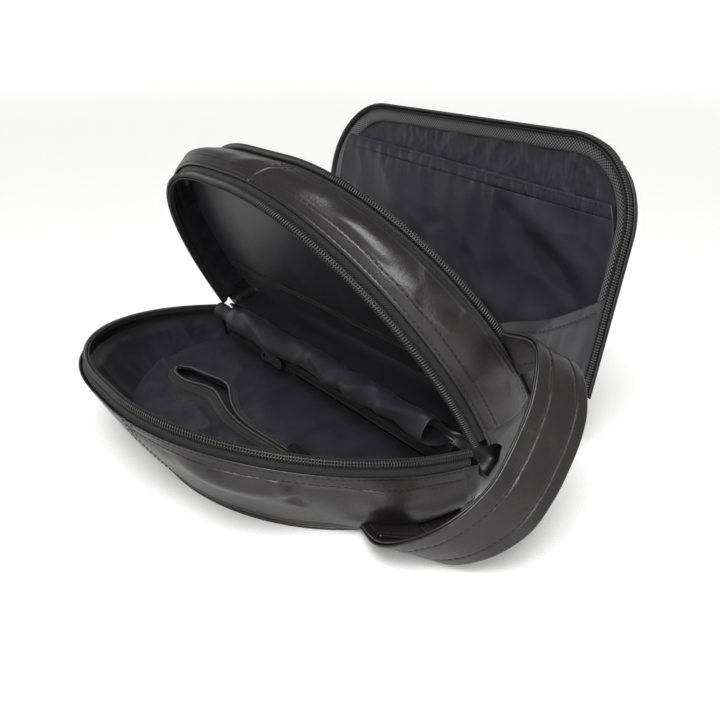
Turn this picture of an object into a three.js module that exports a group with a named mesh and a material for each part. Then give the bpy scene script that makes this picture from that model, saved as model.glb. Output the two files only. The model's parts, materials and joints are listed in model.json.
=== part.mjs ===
// A three-section toiletry bag of black imitation leather, lying open on its front panel.
// Millimetres, Z up. The origin is the middle of the front panel's underside, which rests on the table.
// Y runs along the hinges: the carrying strap is at the -Y end. X points from the front shell to the lid.
import * as THREE from "three";

// Driving sizes of the three sections, measured between the zip coils
const mouthWidth = 250;
const mouthHeight = 127;
const mouthRadius = 115;
const lidHeight = 126;
const lidRadius = 46;
const lidDepth = 12;
const lidTaper = 7;
const bandDepth = 45;
const panelLength = 107;
const panelInset = 9;
const panelWidth = mouthWidth - 2 * panelInset;
const panelRadius = 105;
const panelSquashShare = 0.84;

// How the bag stands open: the front shell's mouth, the middle section and the lid
const mouthTilt = THREE.MathUtils.degToRad(10);
const middleLean = THREE.MathUtils.degToRad(30);
const rearTaper = THREE.MathUtils.degToRad(4.2);
const lidLean = THREE.MathUtils.degToRad(12.7);
const hingeHeight = 35;
const gussetSpan = 36.4;
const gussetDrop = THREE.MathUtils.degToRad(18.7);
const rearDrop = 5;
const rearShift = -12;
const rearFarRadius = 97;

// Sheet thicknesses and the clearance that touching sheets keep
const leather = 1.1;
const cloth = 0.6;
const webbing = 0.6;
const board = 1.6;
const stiffener = 3;
const panelLeather = 2;
const seat = 0.3;

// Zips: coil, the tape that shows between coil and leather, and the tape hidden behind the leather
const coilWidth = 2.6;
const coilHeight = 2.6;
const coilClearance = 0.9;
const tapeShown = 4;
const tapeHidden = 4;

// Leather walls and the base strip that joins them
const wallBulge = 2.5;
const bandBulge = 4;
const baseOverhang = 8;
const cornerRadius = 6.5;

// The front shell's inner pocket and its floor
const pocketHeight = 12;
const pocketZipFromHinge = 52;
const pocketZipLength = 160;
const pocketZipOffset = 6;
const pocketSlot = 9;
const pocketTape = 5;
const wallMargin = 3;

// Partition, lid fittings and gussets
const partitionFromMouth = 24;
const rollWidth = 8;
const rollHeight = 3.8;
const slipFromTop = 33;
const slipBottom = 5;
const slipGap = 5;
const hemHeight = 7;
const sideGussetHeight = 50;

// The lining fold along the hinge
const pleatRadius = 5.5;
const pleatInset = 18;
const pleatLength = mouthWidth - 2 * pleatInset;
const pleatHeight = 9;
const pleatReach = 9;
const pleatFoot = 5;
const pleatSides = 10;

// The carrying strap: two plies, and where its stitched ends lie
const strapWidth = 26;
const strapPly = 1.3;
const strapReach = 50;
const strapLength = 184;
const patchOffset = 4;
const patchLength = 14;
const patchWidthShare = 0.8;

// Sliders and their pulls
const sliderLength = 11;
const sliderWidth = 8;
const sliderHeight = 4.4;
const pullLength = 24;
const pullWidth = 6;
const pullThickness = 1.2;
const tailLength = 80;
const tailWidth = 12;
const tailFromMiddle = 32;
const parkHeight = 30;

// How finely the round outlines are stepped
const archColumns = 36;

const black = new THREE.Color(0x161617);
const lining = new THREE.Color(0x2a2a2e);
const steel = new THREE.Color(0xb9bbbd);
const fibre = new THREE.Color(0x54514b);

function finish(color, roughness, metalness = 0) {
  return new THREE.MeshStandardMaterial({ color, roughness, metalness });
}

// Solids

function solidFrom(points, triangles) {
  let volume = 0;
  for (const [a, b, c] of triangles) {
    volume += points[a].dot(new THREE.Vector3().crossVectors(points[b], points[c]));
  }
  const order = volume < 0 ? triangles.map(([a, b, c]) => [a, c, b]) : triangles;
  const geometry = new THREE.BufferGeometry();
  geometry.setFromPoints(points);
  geometry.setIndex(order.flat());
  geometry.computeVertexNormals();
  return geometry;
}

// A closed sheet between a face and a back, both functions of two shares from 0 to 1
function sheetSolid(face, back, columns, rows) {
  const points = [];
  const at = [[], []];
  [face, back].forEach((side, layer) => {
    for (let i = 0; i <= columns; i += 1) {
      at[layer].push([]);
      for (let j = 0; j <= rows; j += 1) {
        at[layer][i].push(points.length);
        points.push(side(i / columns, j / rows));
      }
    }
  });
  const triangles = [];
  const quad = (a, b, c, d) => triangles.push([a, b, c], [a, c, d]);
  const [front, rear] = at;
  for (let i = 0; i < columns; i += 1) {
    for (let j = 0; j < rows; j += 1) {
      quad(front[i][j], front[i + 1][j], front[i + 1][j + 1], front[i][j + 1]);
      quad(rear[i][j], rear[i][j + 1], rear[i + 1][j + 1], rear[i + 1][j]);
    }
    quad(front[i][0], rear[i][0], rear[i + 1][0], front[i + 1][0]);
    quad(front[i][rows], front[i + 1][rows], rear[i + 1][rows], rear[i][rows]);
  }
  for (let j = 0; j < rows; j += 1) {
    quad(front[0][j], front[0][j + 1], rear[0][j + 1], rear[0][j]);
    quad(front[columns][j], rear[columns][j], rear[columns][j + 1], front[columns][j + 1]);
  }
  return solidFrom(points, triangles);
}

// A closed plate between two rounded loops of points, each face fanned from its middle
function plateSolid(loopA, loopB) {
  const count = loopA.length;
  const middleOf = (loop) => loop.reduce((sum, p) => sum.add(p), new THREE.Vector3()).divideScalar(count);
  const points = [...loopA, ...loopB, middleOf(loopA), middleOf(loopB)];
  const triangles = [];
  for (let i = 0; i < count; i += 1) {
    const next = (i + 1) % count;
    triangles.push([i, next, 2 * count], [count + i, 2 * count + 1, count + next]);
    triangles.push([i, count + i, next], [next, count + i, count + next]);
  }
  return solidFrom(points, triangles);
}

// A bead that follows an outline: the section is a closed loop of outward and depth offsets
function beadSolid(place, section, columns) {
  const points = [];
  for (let i = 0; i <= columns; i += 1) {
    for (const corner of section) points.push(place(i / columns, corner.x, corner.y));
  }
  const sides = section.length;
  const triangles = [];
  for (let i = 0; i < columns; i += 1) {
    for (let j = 0; j < sides; j += 1) {
      const next = (j + 1) % sides;
      const a = i * sides + j;
      const b = i * sides + next;
      triangles.push([a, a + sides, b], [b, a + sides, b + sides]);
    }
  }
  const last = columns * sides;
  for (const [a, b, c] of THREE.ShapeUtils.triangulateShape(section, [])) {
    triangles.push([a, b, c], [last + a, last + c, last + b]);
  }
  return solidFrom(points, triangles);
}

function rectangle(fromOut, toOut, fromDepth, toDepth) {
  return [
    new THREE.Vector2(fromOut, fromDepth),
    new THREE.Vector2(toOut, fromDepth),
    new THREE.Vector2(toOut, toDepth),
    new THREE.Vector2(fromOut, toDepth),
  ];
}

function ellipse(out, depth, width, height, sides) {
  const loop = [];
  for (let i = 0; i < sides; i += 1) {
    const angle = (2 * Math.PI * (i + 1 / 2)) / sides;
    loop.push(new THREE.Vector2(out + (width / 2) * Math.cos(angle), depth + (height / 2) * Math.sin(angle)));
  }
  return loop;
}

// Outlines: an arch stands on the hinge line, and a share of its length gives a point and its outward way.
// Its far corner can have another radius, and a squashed arch is pressed towards the hinge
function arch(half, height, radius, { far = radius, squash = 1, shift = 0, start = 0, flip = 1 } = {}) {
  const tall = height / squash;
  const side = tall - radius;
  const farSide = tall - far;
  const turn = (Math.PI / 2) * radius;
  const farTurn = (Math.PI / 2) * far;
  const top = 2 * half - radius - far;
  const total = side + turn + top + farTurn + farSide;
  return (share, out = 0) => {
    const s = share * total;
    const left = total - s;
    let y = -half;
    let h = s;
    let ny = -1;
    let nh = 0;
    if (s > side && s <= side + turn) {
      ny = -Math.cos((s - side) / radius);
      nh = Math.sin((s - side) / radius);
      y = radius - half + radius * ny;
      h = side + radius * nh;
    } else if (s > side + turn && left >= farSide + farTurn) {
      ny = 0;
      nh = 1;
      y = radius - half + s - side - turn;
      h = tall;
    } else if (s > side && left >= farSide) {
      ny = Math.cos((left - farSide) / far);
      nh = Math.sin((left - farSide) / far);
      y = half - far + far * ny;
      h = farSide + far * nh;
    } else if (s > side) {
      ny = 1;
      y = half;
      h = left;
    }
    const length = Math.hypot(ny, nh / squash);
    const high = h * squash + (nh / squash / length) * out;
    return { y: y + (ny / length) * out + (shift * high) / height, h: flip * high + start };
  };
}

// A frame lays an outline in space: up runs from the hinge along the mouth, into runs into the section
function frame(origin, up, into) {
  return (y, h, depth) =>
    origin
      .clone()
      .addScaledVector(up, h)
      .addScaledVector(into, depth)
      .add(new THREE.Vector3(0, y, 0));
}

function placeOn(lay, outline) {
  return (share, out, depth) => {
    const { y, h } = outline(share, out);
    return lay(y, h, depth);
  };
}

// A wall lofted between two placed outlines, with a soft bulge outwards
function loft(from, fromDepth, to, toDepth, bulge) {
  return (share, v, out) => {
    const swell = bulge * Math.sin(Math.PI * v);
    const a = from(share, out + swell, fromDepth);
    const b = to(share, out + swell, toDepth);
    return a.lerp(b, v);
  };
}

function loftSheet(surface, outer, thickness, columns, rows, { s0 = 0, s1 = 1, v0 = 0, v1 = 1 } = {}) {
  const at = (u, v, out) => surface(s0 + (s1 - s0) * u, v0 + (v1 - v0) * v, out);
  return sheetSolid(
    (u, v) => at(u, v, outer),
    (u, v) => at(u, v, outer - thickness),
    columns,
    rows,
  );
}

const across = (angle) => new THREE.Vector3(Math.cos(angle), 0, Math.sin(angle));

// Where the layers lie, outward from the coil's line
const tapeOuter = coilWidth / 2;
const leatherInner = tapeOuter + seat;
const leatherOuter = leatherInner + leather;
const liningOuter = tapeOuter - webbing - seat;
const liningInner = liningOuter - cloth;
const leatherEdge = coilClearance + coilHeight + seat + tapeShown;

// Frames of the sections
const hinge = new THREE.Vector3(panelLength / 2 - baseOverhang, 0, hingeHeight);
const frontUp = across(Math.PI - mouthTilt);
const frontInto = across(-Math.PI / 2 - mouthTilt);
const frontMouth = frame(hinge, frontUp, frontInto);
const tableLay = frame(
  new THREE.Vector3(hinge.x, 0, 0),
  new THREE.Vector3(-1, 0, 0),
  new THREE.Vector3(0, 0, 1),
);
const middleMouth = frame(new THREE.Vector3(), new THREE.Vector3(0, 0, 1), new THREE.Vector3(1, 0, 0));
const rearBase = new THREE.Vector3(bandDepth, 0, -rearDrop);
const rearMouth = frame(rearBase, across(Math.PI / 2 + rearTaper), across(Math.PI + rearTaper));
const lidMouth = middleMouth;

const mouthArch = arch(mouthWidth / 2, mouthHeight, mouthRadius);
const rearArch = arch(mouthWidth / 2, mouthHeight, mouthRadius, { far: rearFarRadius, shift: rearShift });
const panelArch = arch(panelWidth / 2, panelLength - baseOverhang, panelRadius, { squash: panelSquashShare });
const lidArch = arch(mouthWidth / 2, lidHeight, lidRadius);
const baseShape = { start: -seat, flip: -1 };
const baseDrop = baseOverhang - leatherOuter;
const baseArch = arch(mouthWidth / 2, baseDrop, cornerRadius - leatherOuter, baseShape);
const panelBaseArch = arch(panelWidth / 2 - leatherOuter, baseDrop, cornerRadius - leatherOuter, baseShape);

const bag = new THREE.Group();
const middle = new THREE.Group();
middle.position.copy(hinge);
middle.rotation.y = -middleLean;
const lid = new THREE.Group();
bag.add(middle);

// The lid's foot hangs from the middle section's rear edge on a soft base gusset
const gussetAngle = middleLean + gussetDrop;
const lidFoot = rearBase.clone().addScaledVector(across(-gussetAngle), gussetSpan);
lid.position.copy(lidFoot);
lid.rotation.y = lidLean + middleLean;
middle.add(lid);

function add(group, name, geometry, material) {
  const mesh = new THREE.Mesh(geometry, material);
  mesh.name = name;
  group.add(mesh);
  return mesh;
}

const leatherFinish = finish(black, 0.42);
const liningFinish = finish(lining, 0.62);
const tapeFinish = finish(new THREE.Color(0x101011), 0.8);
const coilFinish = finish(new THREE.Color(0x19191a), 0.35);
const meshFinish = finish(new THREE.Color(0x1c1c1e), 0.75);
const boardFinish = finish(fibre, 0.9);
const metalFinish = finish(steel, 0.25, 1);

// Zip halves

function zipCoil(group, name, mouth, outline) {
  const section = ellipse(0, coilClearance + coilHeight / 2, coilWidth, coilHeight, 6);
  add(group, name, beadSolid(placeOn(mouth, outline), section, archColumns), coilFinish);
}

// The tape runs from the coil to the leather's edge and on behind the leather
function zipTape(group, name, mouth, outline, wall, hiddenShare) {
  const place = placeOn(mouth, outline);
  const from = coilClearance + coilHeight + seat;
  const at = (share, v, out) =>
    v < 1 / 2
      ? place(share, out, THREE.MathUtils.lerp(from, leatherEdge, 2 * v))
      : wall(share, (2 * v - 1) * hiddenShare, out);
  const geometry = sheetSolid(
    (u, v) => at(u, v, tapeOuter),
    (u, v) => at(u, v, tapeOuter - webbing),
    archColumns,
    4,
  );
  add(group, name, geometry, tapeFinish);
}

// Front shell

const wallFoot = panelLeather + seat;
const frontPlace = placeOn(frontMouth, mouthArch);
const panelPlace = (share, out, depth) => placeOn(tableLay, panelArch)(share, out - leatherOuter, depth);
const frontWall = loft(frontPlace, leatherEdge, panelPlace, wallFoot, wallBulge);
const seamShare = 0.43;

function loopOf(outline, out, count, extra = []) {
  const loop = [];
  for (let i = 0; i <= count; i += 1) {
    const { y, h } = outline(i / count, out);
    loop.push(new THREE.Vector2(y, h));
  }
  return [...loop, ...extra];
}

function plateOn(lay, loop, fromDepth, toDepth) {
  return plateSolid(
    loop.map((p) => lay(p.x, p.y, fromDepth)),
    loop.map((p) => lay(p.x, p.y, toDepth)),
  );
}

function buildFrontPanel() {
  const half = panelWidth / 2;
  const turned = [new THREE.Vector2(half, -baseOverhang), new THREE.Vector2(-half, -baseOverhang)];
  const loop = loopOf(panelArch, 0, archColumns, turned);
  add(bag, "front_panel", plateOn(tableLay, loop, 0, panelLeather), leatherFinish);
}

function buildFrontWall() {
  const near = { s0: 0, s1: seamShare - seat / mouthWidth };
  const far = { s0: seamShare + seat / mouthWidth, s1: 1 };
  const rows = 5;
  const nearColumns = Math.round(archColumns * seamShare);
  const farColumns = archColumns - nearColumns;
  const nearSheet = loftSheet(frontWall, leatherOuter, leather, nearColumns, rows, near);
  const farSheet = loftSheet(frontWall, leatherOuter, leather, farColumns, rows, far);
  add(bag, "front_wall_near", nearSheet, leatherFinish);
  add(bag, "front_wall_far", farSheet, leatherFinish);
}

const hiddenWallShare = tapeHidden / hingeHeight;

function buildFrontZip() {
  zipCoil(bag, "front_zip_coil_lower", frontMouth, mouthArch);
  zipTape(bag, "front_zip_tape_lower", frontMouth, mouthArch, frontWall, hiddenWallShare);
}

// The base strip is a shallow channel: its turned-up ends lie under the ends of the walls
function baseChannel(from, fromDepth, to, toDepth) {
  const surface = loft(from, fromDepth, to, toDepth, 0);
  return loftSheet(surface, leatherOuter, leather, archColumns, 2);
}

function buildFrontBase() {
  const from = placeOn(frontMouth, baseArch);
  const to = placeOn(tableLay, panelBaseArch);
  add(bag, "base_strip_front", baseChannel(from, leatherEdge, to, wallFoot), leatherFinish);
}

const stiffenerTop = wallFoot + stiffener;
const pocketBackTop = stiffenerTop + seat + cloth;
const floorInset = wallMargin + leatherOuter;

function buildFrontFloor() {
  const half = panelWidth / 2 - floorInset;
  const base = [new THREE.Vector2(half, -wallMargin), new THREE.Vector2(-half, -wallMargin)];
  const loop = loopOf(panelArch, -floorInset, archColumns, base);
  add(bag, "front_stiffener", plateOn(tableLay, loop, wallFoot, stiffenerTop), boardFinish);
  add(bag, "inner_pocket_back", plateOn(tableLay, loop, stiffenerTop + seat, pocketBackTop), liningFinish);
}

// The pocket's face is cut by its zip: the part by the hinge and the part by the arch
function splitLoop(loop, line, keepAbove) {
  const kept = [];
  for (let i = 0; i < loop.length; i += 1) {
    const p = loop[i];
    const q = loop[(i + 1) % loop.length];
    const inside = keepAbove ? p.y > line : p.y < line;
    const nextInside = keepAbove ? q.y > line : q.y < line;
    if (inside) kept.push(p);
    if (inside !== nextInside) {
      kept.push(new THREE.Vector2(THREE.MathUtils.mapLinear(line, p.y, q.y, p.x, q.x), line));
    }
  }
  return kept;
}

// The pocket's face is sewn to the wall's lining all round, level above the table
function pocketLoop() {
  const loop = [];
  for (let i = 0; i <= archColumns; i += 1) {
    const share = i / archColumns;
    const top = frontWall(share, 0, 0).z;
    const p = frontWall(share, (top - pocketHeight) / (top - wallFoot), liningInner - 2 * seat);
    loop.push(new THREE.Vector2(p.y, hinge.x - p.x));
  }
  const half = panelWidth / 2 - leatherOuter;
  const corner = half + wallMargin;
  return [
    ...loop,
    new THREE.Vector2(corner, 0),
    new THREE.Vector2(half, -wallMargin),
    new THREE.Vector2(-half, -wallMargin),
    new THREE.Vector2(-corner, 0),
  ];
}

function buildInnerPocket() {
  const loop = pocketLoop();
  const tapeEdge = pocketSlot / 2 + pocketTape;
  const hingeSide = splitLoop(loop, pocketZipFromHinge - tapeEdge - seat, false);
  const archSide = splitLoop(loop, pocketZipFromHinge + tapeEdge + seat, true);
  const top = pocketHeight + cloth;
  add(bag, "inner_pocket_face_hinge_side", plateOn(tableLay, hingeSide, pocketHeight, top), liningFinish);
  add(bag, "inner_pocket_face_arch_side", plateOn(tableLay, archSide, pocketHeight, top), liningFinish);
  for (const [side, word] of [[-1, "hinge_side"], [1, "arch_side"]]) {
    const edge = (v) => pocketZipFromHinge + side * (pocketSlot / 2 + v * pocketTape);
    const along = (u) => pocketZipOffset + pocketZipLength * (u - 1 / 2);
    const tape = sheetSolid(
      (u, v) => tableLay(along(u), edge(v), top),
      (u, v) => tableLay(along(u), edge(v), top - webbing),
      8,
      1,
    );
    add(bag, `pocket_zip_tape_${word}`, tape, tapeFinish);
    const coil = ellipse(edge(0) - side * (seat + coilWidth / 4), top + coilHeight / 4, coilWidth / 2, coilHeight / 2, 6);
    const bead = beadSolid((u, h, z) => tableLay(along(u), h, z), coil, 8);
    add(bag, `pocket_zip_coil_${word}`, bead, coilFinish);
  }
}

function buildFrontLining() {
  const lined = { v0: hiddenWallShare / 2, v1: 1 - wallMargin / hingeHeight };
  const sheet = loftSheet(frontWall, liningOuter, cloth, archColumns, 4, lined);
  add(bag, "front_wall_lining", sheet, liningFinish);
  const half = panelWidth / 2 - cornerRadius - wallMargin;
  const depthFrom = leatherEdge;
  const depthTo = hingeHeight - pocketHeight - wallMargin;
  const behind = -baseOverhang + leather + seat;
  const strip = sheetSolid(
    (u, v) => frontMouth(half * (2 * u - 1), behind, THREE.MathUtils.lerp(depthFrom, depthTo, v)),
    (u, v) => frontMouth(half * (2 * u - 1), behind + cloth, THREE.MathUtils.lerp(depthFrom, depthTo, v)),
    12,
    2,
  );
  add(bag, "front_base_lining", strip, liningFinish);
}

buildFrontPanel();
buildFrontWall();
buildFrontZip();
buildFrontBase();
buildFrontFloor();
buildInnerPocket();
buildFrontLining();

// Middle section

const middlePlace = placeOn(middleMouth, mouthArch);
const rearPlace = placeOn(rearMouth, rearArch);
const bandWall = loft(middlePlace, leatherEdge, rearPlace, leatherEdge, bandBulge);
const bandLeather = bandDepth - 2 * leatherEdge;
const hiddenBandShare = tapeHidden / bandLeather;

function buildMiddleBand() {
  const near = { s0: 0, s1: seamShare - seat / mouthWidth };
  const far = { s0: seamShare + seat / mouthWidth, s1: 1 };
  const nearColumns = Math.round(archColumns * seamShare);
  const farColumns = archColumns - nearColumns;
  const rows = 5;
  const nearSheet = loftSheet(bandWall, leatherOuter, leather, nearColumns, rows, near);
  const farSheet = loftSheet(bandWall, leatherOuter, leather, farColumns, rows, far);
  add(middle, "middle_band_near", nearSheet, leatherFinish);
  add(middle, "middle_band_far", farSheet, leatherFinish);
}

function buildMiddleZips() {
  zipCoil(middle, "front_zip_coil_upper", middleMouth, mouthArch);
  zipTape(middle, "front_zip_tape_upper", middleMouth, mouthArch, bandWall, hiddenBandShare);
  const backwards = (share, v, out) => bandWall(share, 1 - v, out);
  zipCoil(middle, "rear_zip_coil_front", rearMouth, rearArch);
  zipTape(middle, "rear_zip_tape_front", rearMouth, rearArch, backwards, hiddenBandShare);
}

function buildMiddleBase() {
  const from = placeOn(middleMouth, baseArch);
  const to = placeOn(rearMouth, baseArch);
  add(middle, "base_strip_middle", baseChannel(from, leatherEdge, to, leatherEdge), leatherFinish);
}

function partitionLoop(share, out) {
  const loop = [];
  for (let i = 0; i <= archColumns; i += 1) loop.push(bandWall(i / archColumns, share, out));
  return loop;
}

function partitionPlate(fromDepth, toDepth) {
  const at = (depth) => partitionLoop((depth - leatherEdge) / bandLeather, liningInner - seat);
  return plateSolid(at(fromDepth), at(toDepth));
}

function buildMiddleInside() {
  const lined = { v0: hiddenBandShare / 2, v1: 1 - hiddenBandShare / 2 };
  const sheet = loftSheet(bandWall, liningOuter, cloth, archColumns, 4, lined);
  add(middle, "middle_band_lining", sheet, liningFinish);
  const boardFrom = partitionFromMouth + cloth + seat;
  const boardTo = boardFrom + board;
  add(middle, "partition_lining_front", partitionPlate(partitionFromMouth, partitionFromMouth + cloth), liningFinish);
  add(middle, "partition_board", partitionPlate(boardFrom, boardTo), boardFinish);
  add(middle, "partition_lining_rear", partitionPlate(boardTo + seat, boardTo + seat + cloth), liningFinish);
  const half = mouthWidth / 2 - cornerRadius;
  const behind = -baseOverhang + leather + seat;
  const at = (u, v, lift) =>
    middleMouth(half * (2 * u - 1), behind + lift, leatherEdge)
      .lerp(rearMouth(half * (2 * u - 1), behind + lift, leatherEdge), v);
  const strip = sheetSolid((u, v) => at(u, v, 0), (u, v) => at(u, v, cloth), 12, 2);
  add(middle, "middle_base_lining", strip, liningFinish);
}

buildMiddleBand();
buildMiddleZips();
buildMiddleBase();
buildMiddleInside();

// Lid

const lidTapeDepth = coilClearance + coilHeight + seat;
const lidEdge = lidTapeDepth + tapeShown / 2;
const lidBack = lidDepth - leather;
const lidLiningDepth = lidBack - seat - board - seat - cloth;

// The lid narrows from its zip to its back
function lidInset(depth) {
  return (lidTaper * Math.max(0, depth - lidTapeDepth)) / (lidDepth - lidTapeDepth);
}

function lidPlace(share, out, depth) {
  return placeOn(lidMouth, lidArch)(share, out - lidInset(depth), depth);
}

function lidPlate(out, fromDepth, toDepth) {
  const edge = out - lidInset(toDepth);
  const { y } = lidArch(0, edge);
  const foot = [new THREE.Vector2(-y, -wallMargin), new THREE.Vector2(y, -wallMargin)];
  return plateOn(lidMouth, loopOf(lidArch, edge, archColumns, foot), fromDepth, toDepth);
}

function buildLidShell() {
  zipCoil(lid, "rear_zip_coil_lid", lidMouth, lidArch);
  const tape = rectangle(tapeOuter - webbing, tapeOuter, lidTapeDepth, lidLiningDepth - seat);
  add(lid, "rear_zip_tape_lid", beadSolid(lidPlace, tape, archColumns), tapeFinish);
  const rim = rectangle(leatherInner, leatherOuter, lidEdge, lidBack - seat);
  add(lid, "lid_rim", beadSolid(lidPlace, rim, archColumns), leatherFinish);
  add(lid, "lid_panel", lidPlate(leatherOuter, lidBack, lidDepth), leatherFinish);
  const boardFrom = lidBack - seat - board;
  add(lid, "lid_board", lidPlate(tapeOuter, boardFrom, lidBack - seat), boardFinish);
  add(lid, "lid_lining", lidPlate(tapeOuter, lidLiningDepth, boardFrom - seat), liningFinish);
}

// A mesh-covered roll lines the rim just inside the coil
function buildLidFittings() {
  const rollOut = tapeOuter - webbing - seat - rollWidth / 2;
  const rollDepth = lidTapeDepth + rollHeight / 2;
  const roll = ellipse(rollOut, rollDepth, rollWidth, rollHeight, 8);
  add(lid, "lid_mesh_roll", beadSolid(lidPlace, roll, archColumns), meshFinish);
  const inset = rollWidth / 2 - rollOut + seat + lidInset(rollDepth + rollHeight / 2);
  const halfAt = (h) => {
    const over = Math.max(0, h - lidHeight + lidRadius);
    return mouthWidth / 2 - lidRadius + Math.sqrt((lidRadius - inset) ** 2 - over ** 2);
  };
  const slipTop = lidHeight - slipFromTop;
  const depthAt = (v) => lidLiningDepth - seat - cloth - (slipGap - seat) * v;
  const onLid = (u, h, depth) => lidMouth(halfAt(h) * (2 * u - 1), h, depth);
  const panel = (u, v, lift) => onLid(u, THREE.MathUtils.lerp(slipBottom, slipTop, v), depthAt(v) + lift);
  const pocket = sheetSolid((u, v) => panel(u, v, 0), (u, v) => panel(u, v, cloth), 12, 8);
  add(lid, "slip_pocket", pocket, liningFinish);
  const hemAt = (u, v, lift) => onLid(u, slipTop + seat + hemHeight * v, depthAt(1) + lift);
  const hem = sheetSolid((u, v) => hemAt(u, v, -cloth / 2), (u, v) => hemAt(u, v, cloth), 12, 2);
  add(lid, "slip_pocket_hem", hem, liningFinish);
}

// A leather binding closes the lid's foot
function buildLidFoot() {
  const half = mouthWidth / 2 + leatherOuter - lidTaper;
  const low = -wallMargin - seat;
  const at = (u, v, lift) =>
    lidMouth(half * (2 * u - 1), low - lift, THREE.MathUtils.lerp(lidLiningDepth, lidDepth, v));
  const strip = sheetSolid((u, v) => at(u, v, 0), (u, v) => at(u, v, leather), 12, 1);
  add(lid, "lid_foot_binding", strip, leatherFinish);
}

buildLidShell();
buildLidFittings();
buildLidFoot();

// Soft pieces that cross the joints

// Where the lid's frame lies in the middle section's frame
function lidPoint(y, h, depth) {
  lid.updateMatrix();
  return lidMouth(y, h, depth).applyMatrix4(lid.matrix);
}

function buildSideGussets() {
  const inset = mouthWidth / 2 + liningInner - seat;
  for (const [side, word] of [[-1, "near"], [1, "far"]]) {
    const corner = (y) => [
      rearMouth(y, 0, coilClearance - seat),
      rearMouth(y, sideGussetHeight, coilClearance - seat),
      lidPoint(y, sideGussetHeight, coilClearance - seat),
      lidPoint(y, 0, coilClearance - seat),
    ];
    const sheet = plateSolid(corner(side * inset), corner(side * (inset - cloth)));
    add(middle, `side_gusset_${word}`, sheet, liningFinish);
  }
}

// The base gusset spans from the middle section's rear edge to the lid's foot
function buildBaseGusset() {
  const half = mouthWidth / 2 - wallMargin;
  const from = rearMouth(0, -baseOverhang - seat, leatherEdge - 2 * seat);
  const to = lidPoint(0, -wallMargin - 2 * seat - 2 * leather, lidDepth - leather);
  const normal = new THREE.Vector3(from.z - to.z, 0, to.x - from.x).normalize();
  const at = (u, v, lift) =>
    from.clone().lerp(to, v)
      .addScaledVector(normal, lift - wallMargin * Math.sin(Math.PI * v))
      .setY(half * (2 * u - 1));
  const sheet = sheetSolid((u, v) => at(u, v, 0), (u, v) => at(u, v, leather), 12, 6);
  add(middle, "base_gusset", sheet, leatherFinish);
}

// The base strip's crease under the front zip's ends
function buildBaseFold() {
  const half = mouthWidth / 2 - cornerRadius;
  const inner = -baseOverhang - seat + leather;
  const a = frontMouth(0, inner, leatherEdge - seat);
  middle.updateMatrix();
  const b = middleMouth(0, inner, leatherEdge - seat).applyMatrix4(middle.matrix);
  const tuck = a.clone().lerp(b, 1 / 2).lerp(hinge, 1 / 2);
  const curve = new THREE.QuadraticBezierCurve3(a, tuck, b);
  const at = (u, v, lift) => {
    const p = curve.getPoint(v);
    const t = curve.getTangent(v);
    return p.addScaledVector(new THREE.Vector3(t.z, 0, -t.x), lift).setY(half * (2 * u - 1));
  };
  const sheet = sheetSolid((u, v) => at(u, v, 0), (u, v) => at(u, v, leather), 12, 6);
  add(bag, "base_fold", sheet, leatherFinish);
}

// The slack lining stands up in a rolled fold along the hinge, and its foot is sewn to the base
function buildHingePleat() {
  const foot = new THREE.Vector2(pleatFoot, -pleatFoot);
  const roll = new THREE.Vector2(-pleatReach, pleatHeight);
  const towards = foot.clone().sub(roll).normalize();
  const start = Math.atan2(towards.y, towards.x);
  const section = [foot];
  for (let i = 0; i <= pleatSides; i += 1) {
    const angle = start + Math.PI / 3 + ((4 * Math.PI) / 3) * (i / pleatSides);
    section.push(new THREE.Vector2(Math.cos(angle), Math.sin(angle)).multiplyScalar(pleatRadius).add(roll));
  }
  const place = (u, out, depth) =>
    new THREE.Vector3(hinge.x + out, pleatLength * (u - 1 / 2), hinge.z + depth);
  add(bag, "hinge_pleat", beadSolid(place, section, 10), liningFinish);
}

buildSideGussets();
buildBaseGusset();
buildBaseFold();
buildHingePleat();

// Carrying strap: its route from the front shell's lower seam to the middle band's rear edge,
// as shares of its reach from the hinge's near end, with the way that its width points
const strapRouteShares = [
  [-0.82, 0.225, -0.58, 0.93, -0.36, -0.05],
  [-0.98, -0.26, -0.535, 0.86, -0.16, -0.49],
  [-0.81, -0.64, -0.35, 0.63, -0.15, -0.76],
  [-0.45, -0.88, -0.03, 0.54, -0.46, -0.71],
  [-0.07, -0.86, 0.35, 0.69, -0.52, -0.5],
  [0.27, -0.72, 0.76, 0.8, -0.4, -0.44],
  [0.49, -0.41, 0.99, 0.84, -0.12, -0.54],
  [0.33, -0.08, 0.92, 0.5, 0, -0.87],
];

function strapPoint() {
  const start = new THREE.Vector3(hinge.x, -mouthWidth / 2, hinge.z);
  const centres = strapRouteShares.map(([x, y, z]) =>
    new THREE.Vector3(x, y, z).multiplyScalar(strapReach).add(start));
  const widths = strapRouteShares.map(([, , , x, y, z]) => new THREE.Vector3(x, y, z).setLength(strapWidth));
  const route = new THREE.CatmullRomCurve3(centres);
  const spread = new THREE.CatmullRomCurve3(widths);
  return (u, v, lift) => {
    const width = spread.getPoint(u);
    const normal = new THREE.Vector3().crossVectors(route.getTangent(u), width).normalize();
    return route.getPoint(u).addScaledVector(width, v - 1 / 2).addScaledVector(normal, lift);
  };
}

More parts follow.
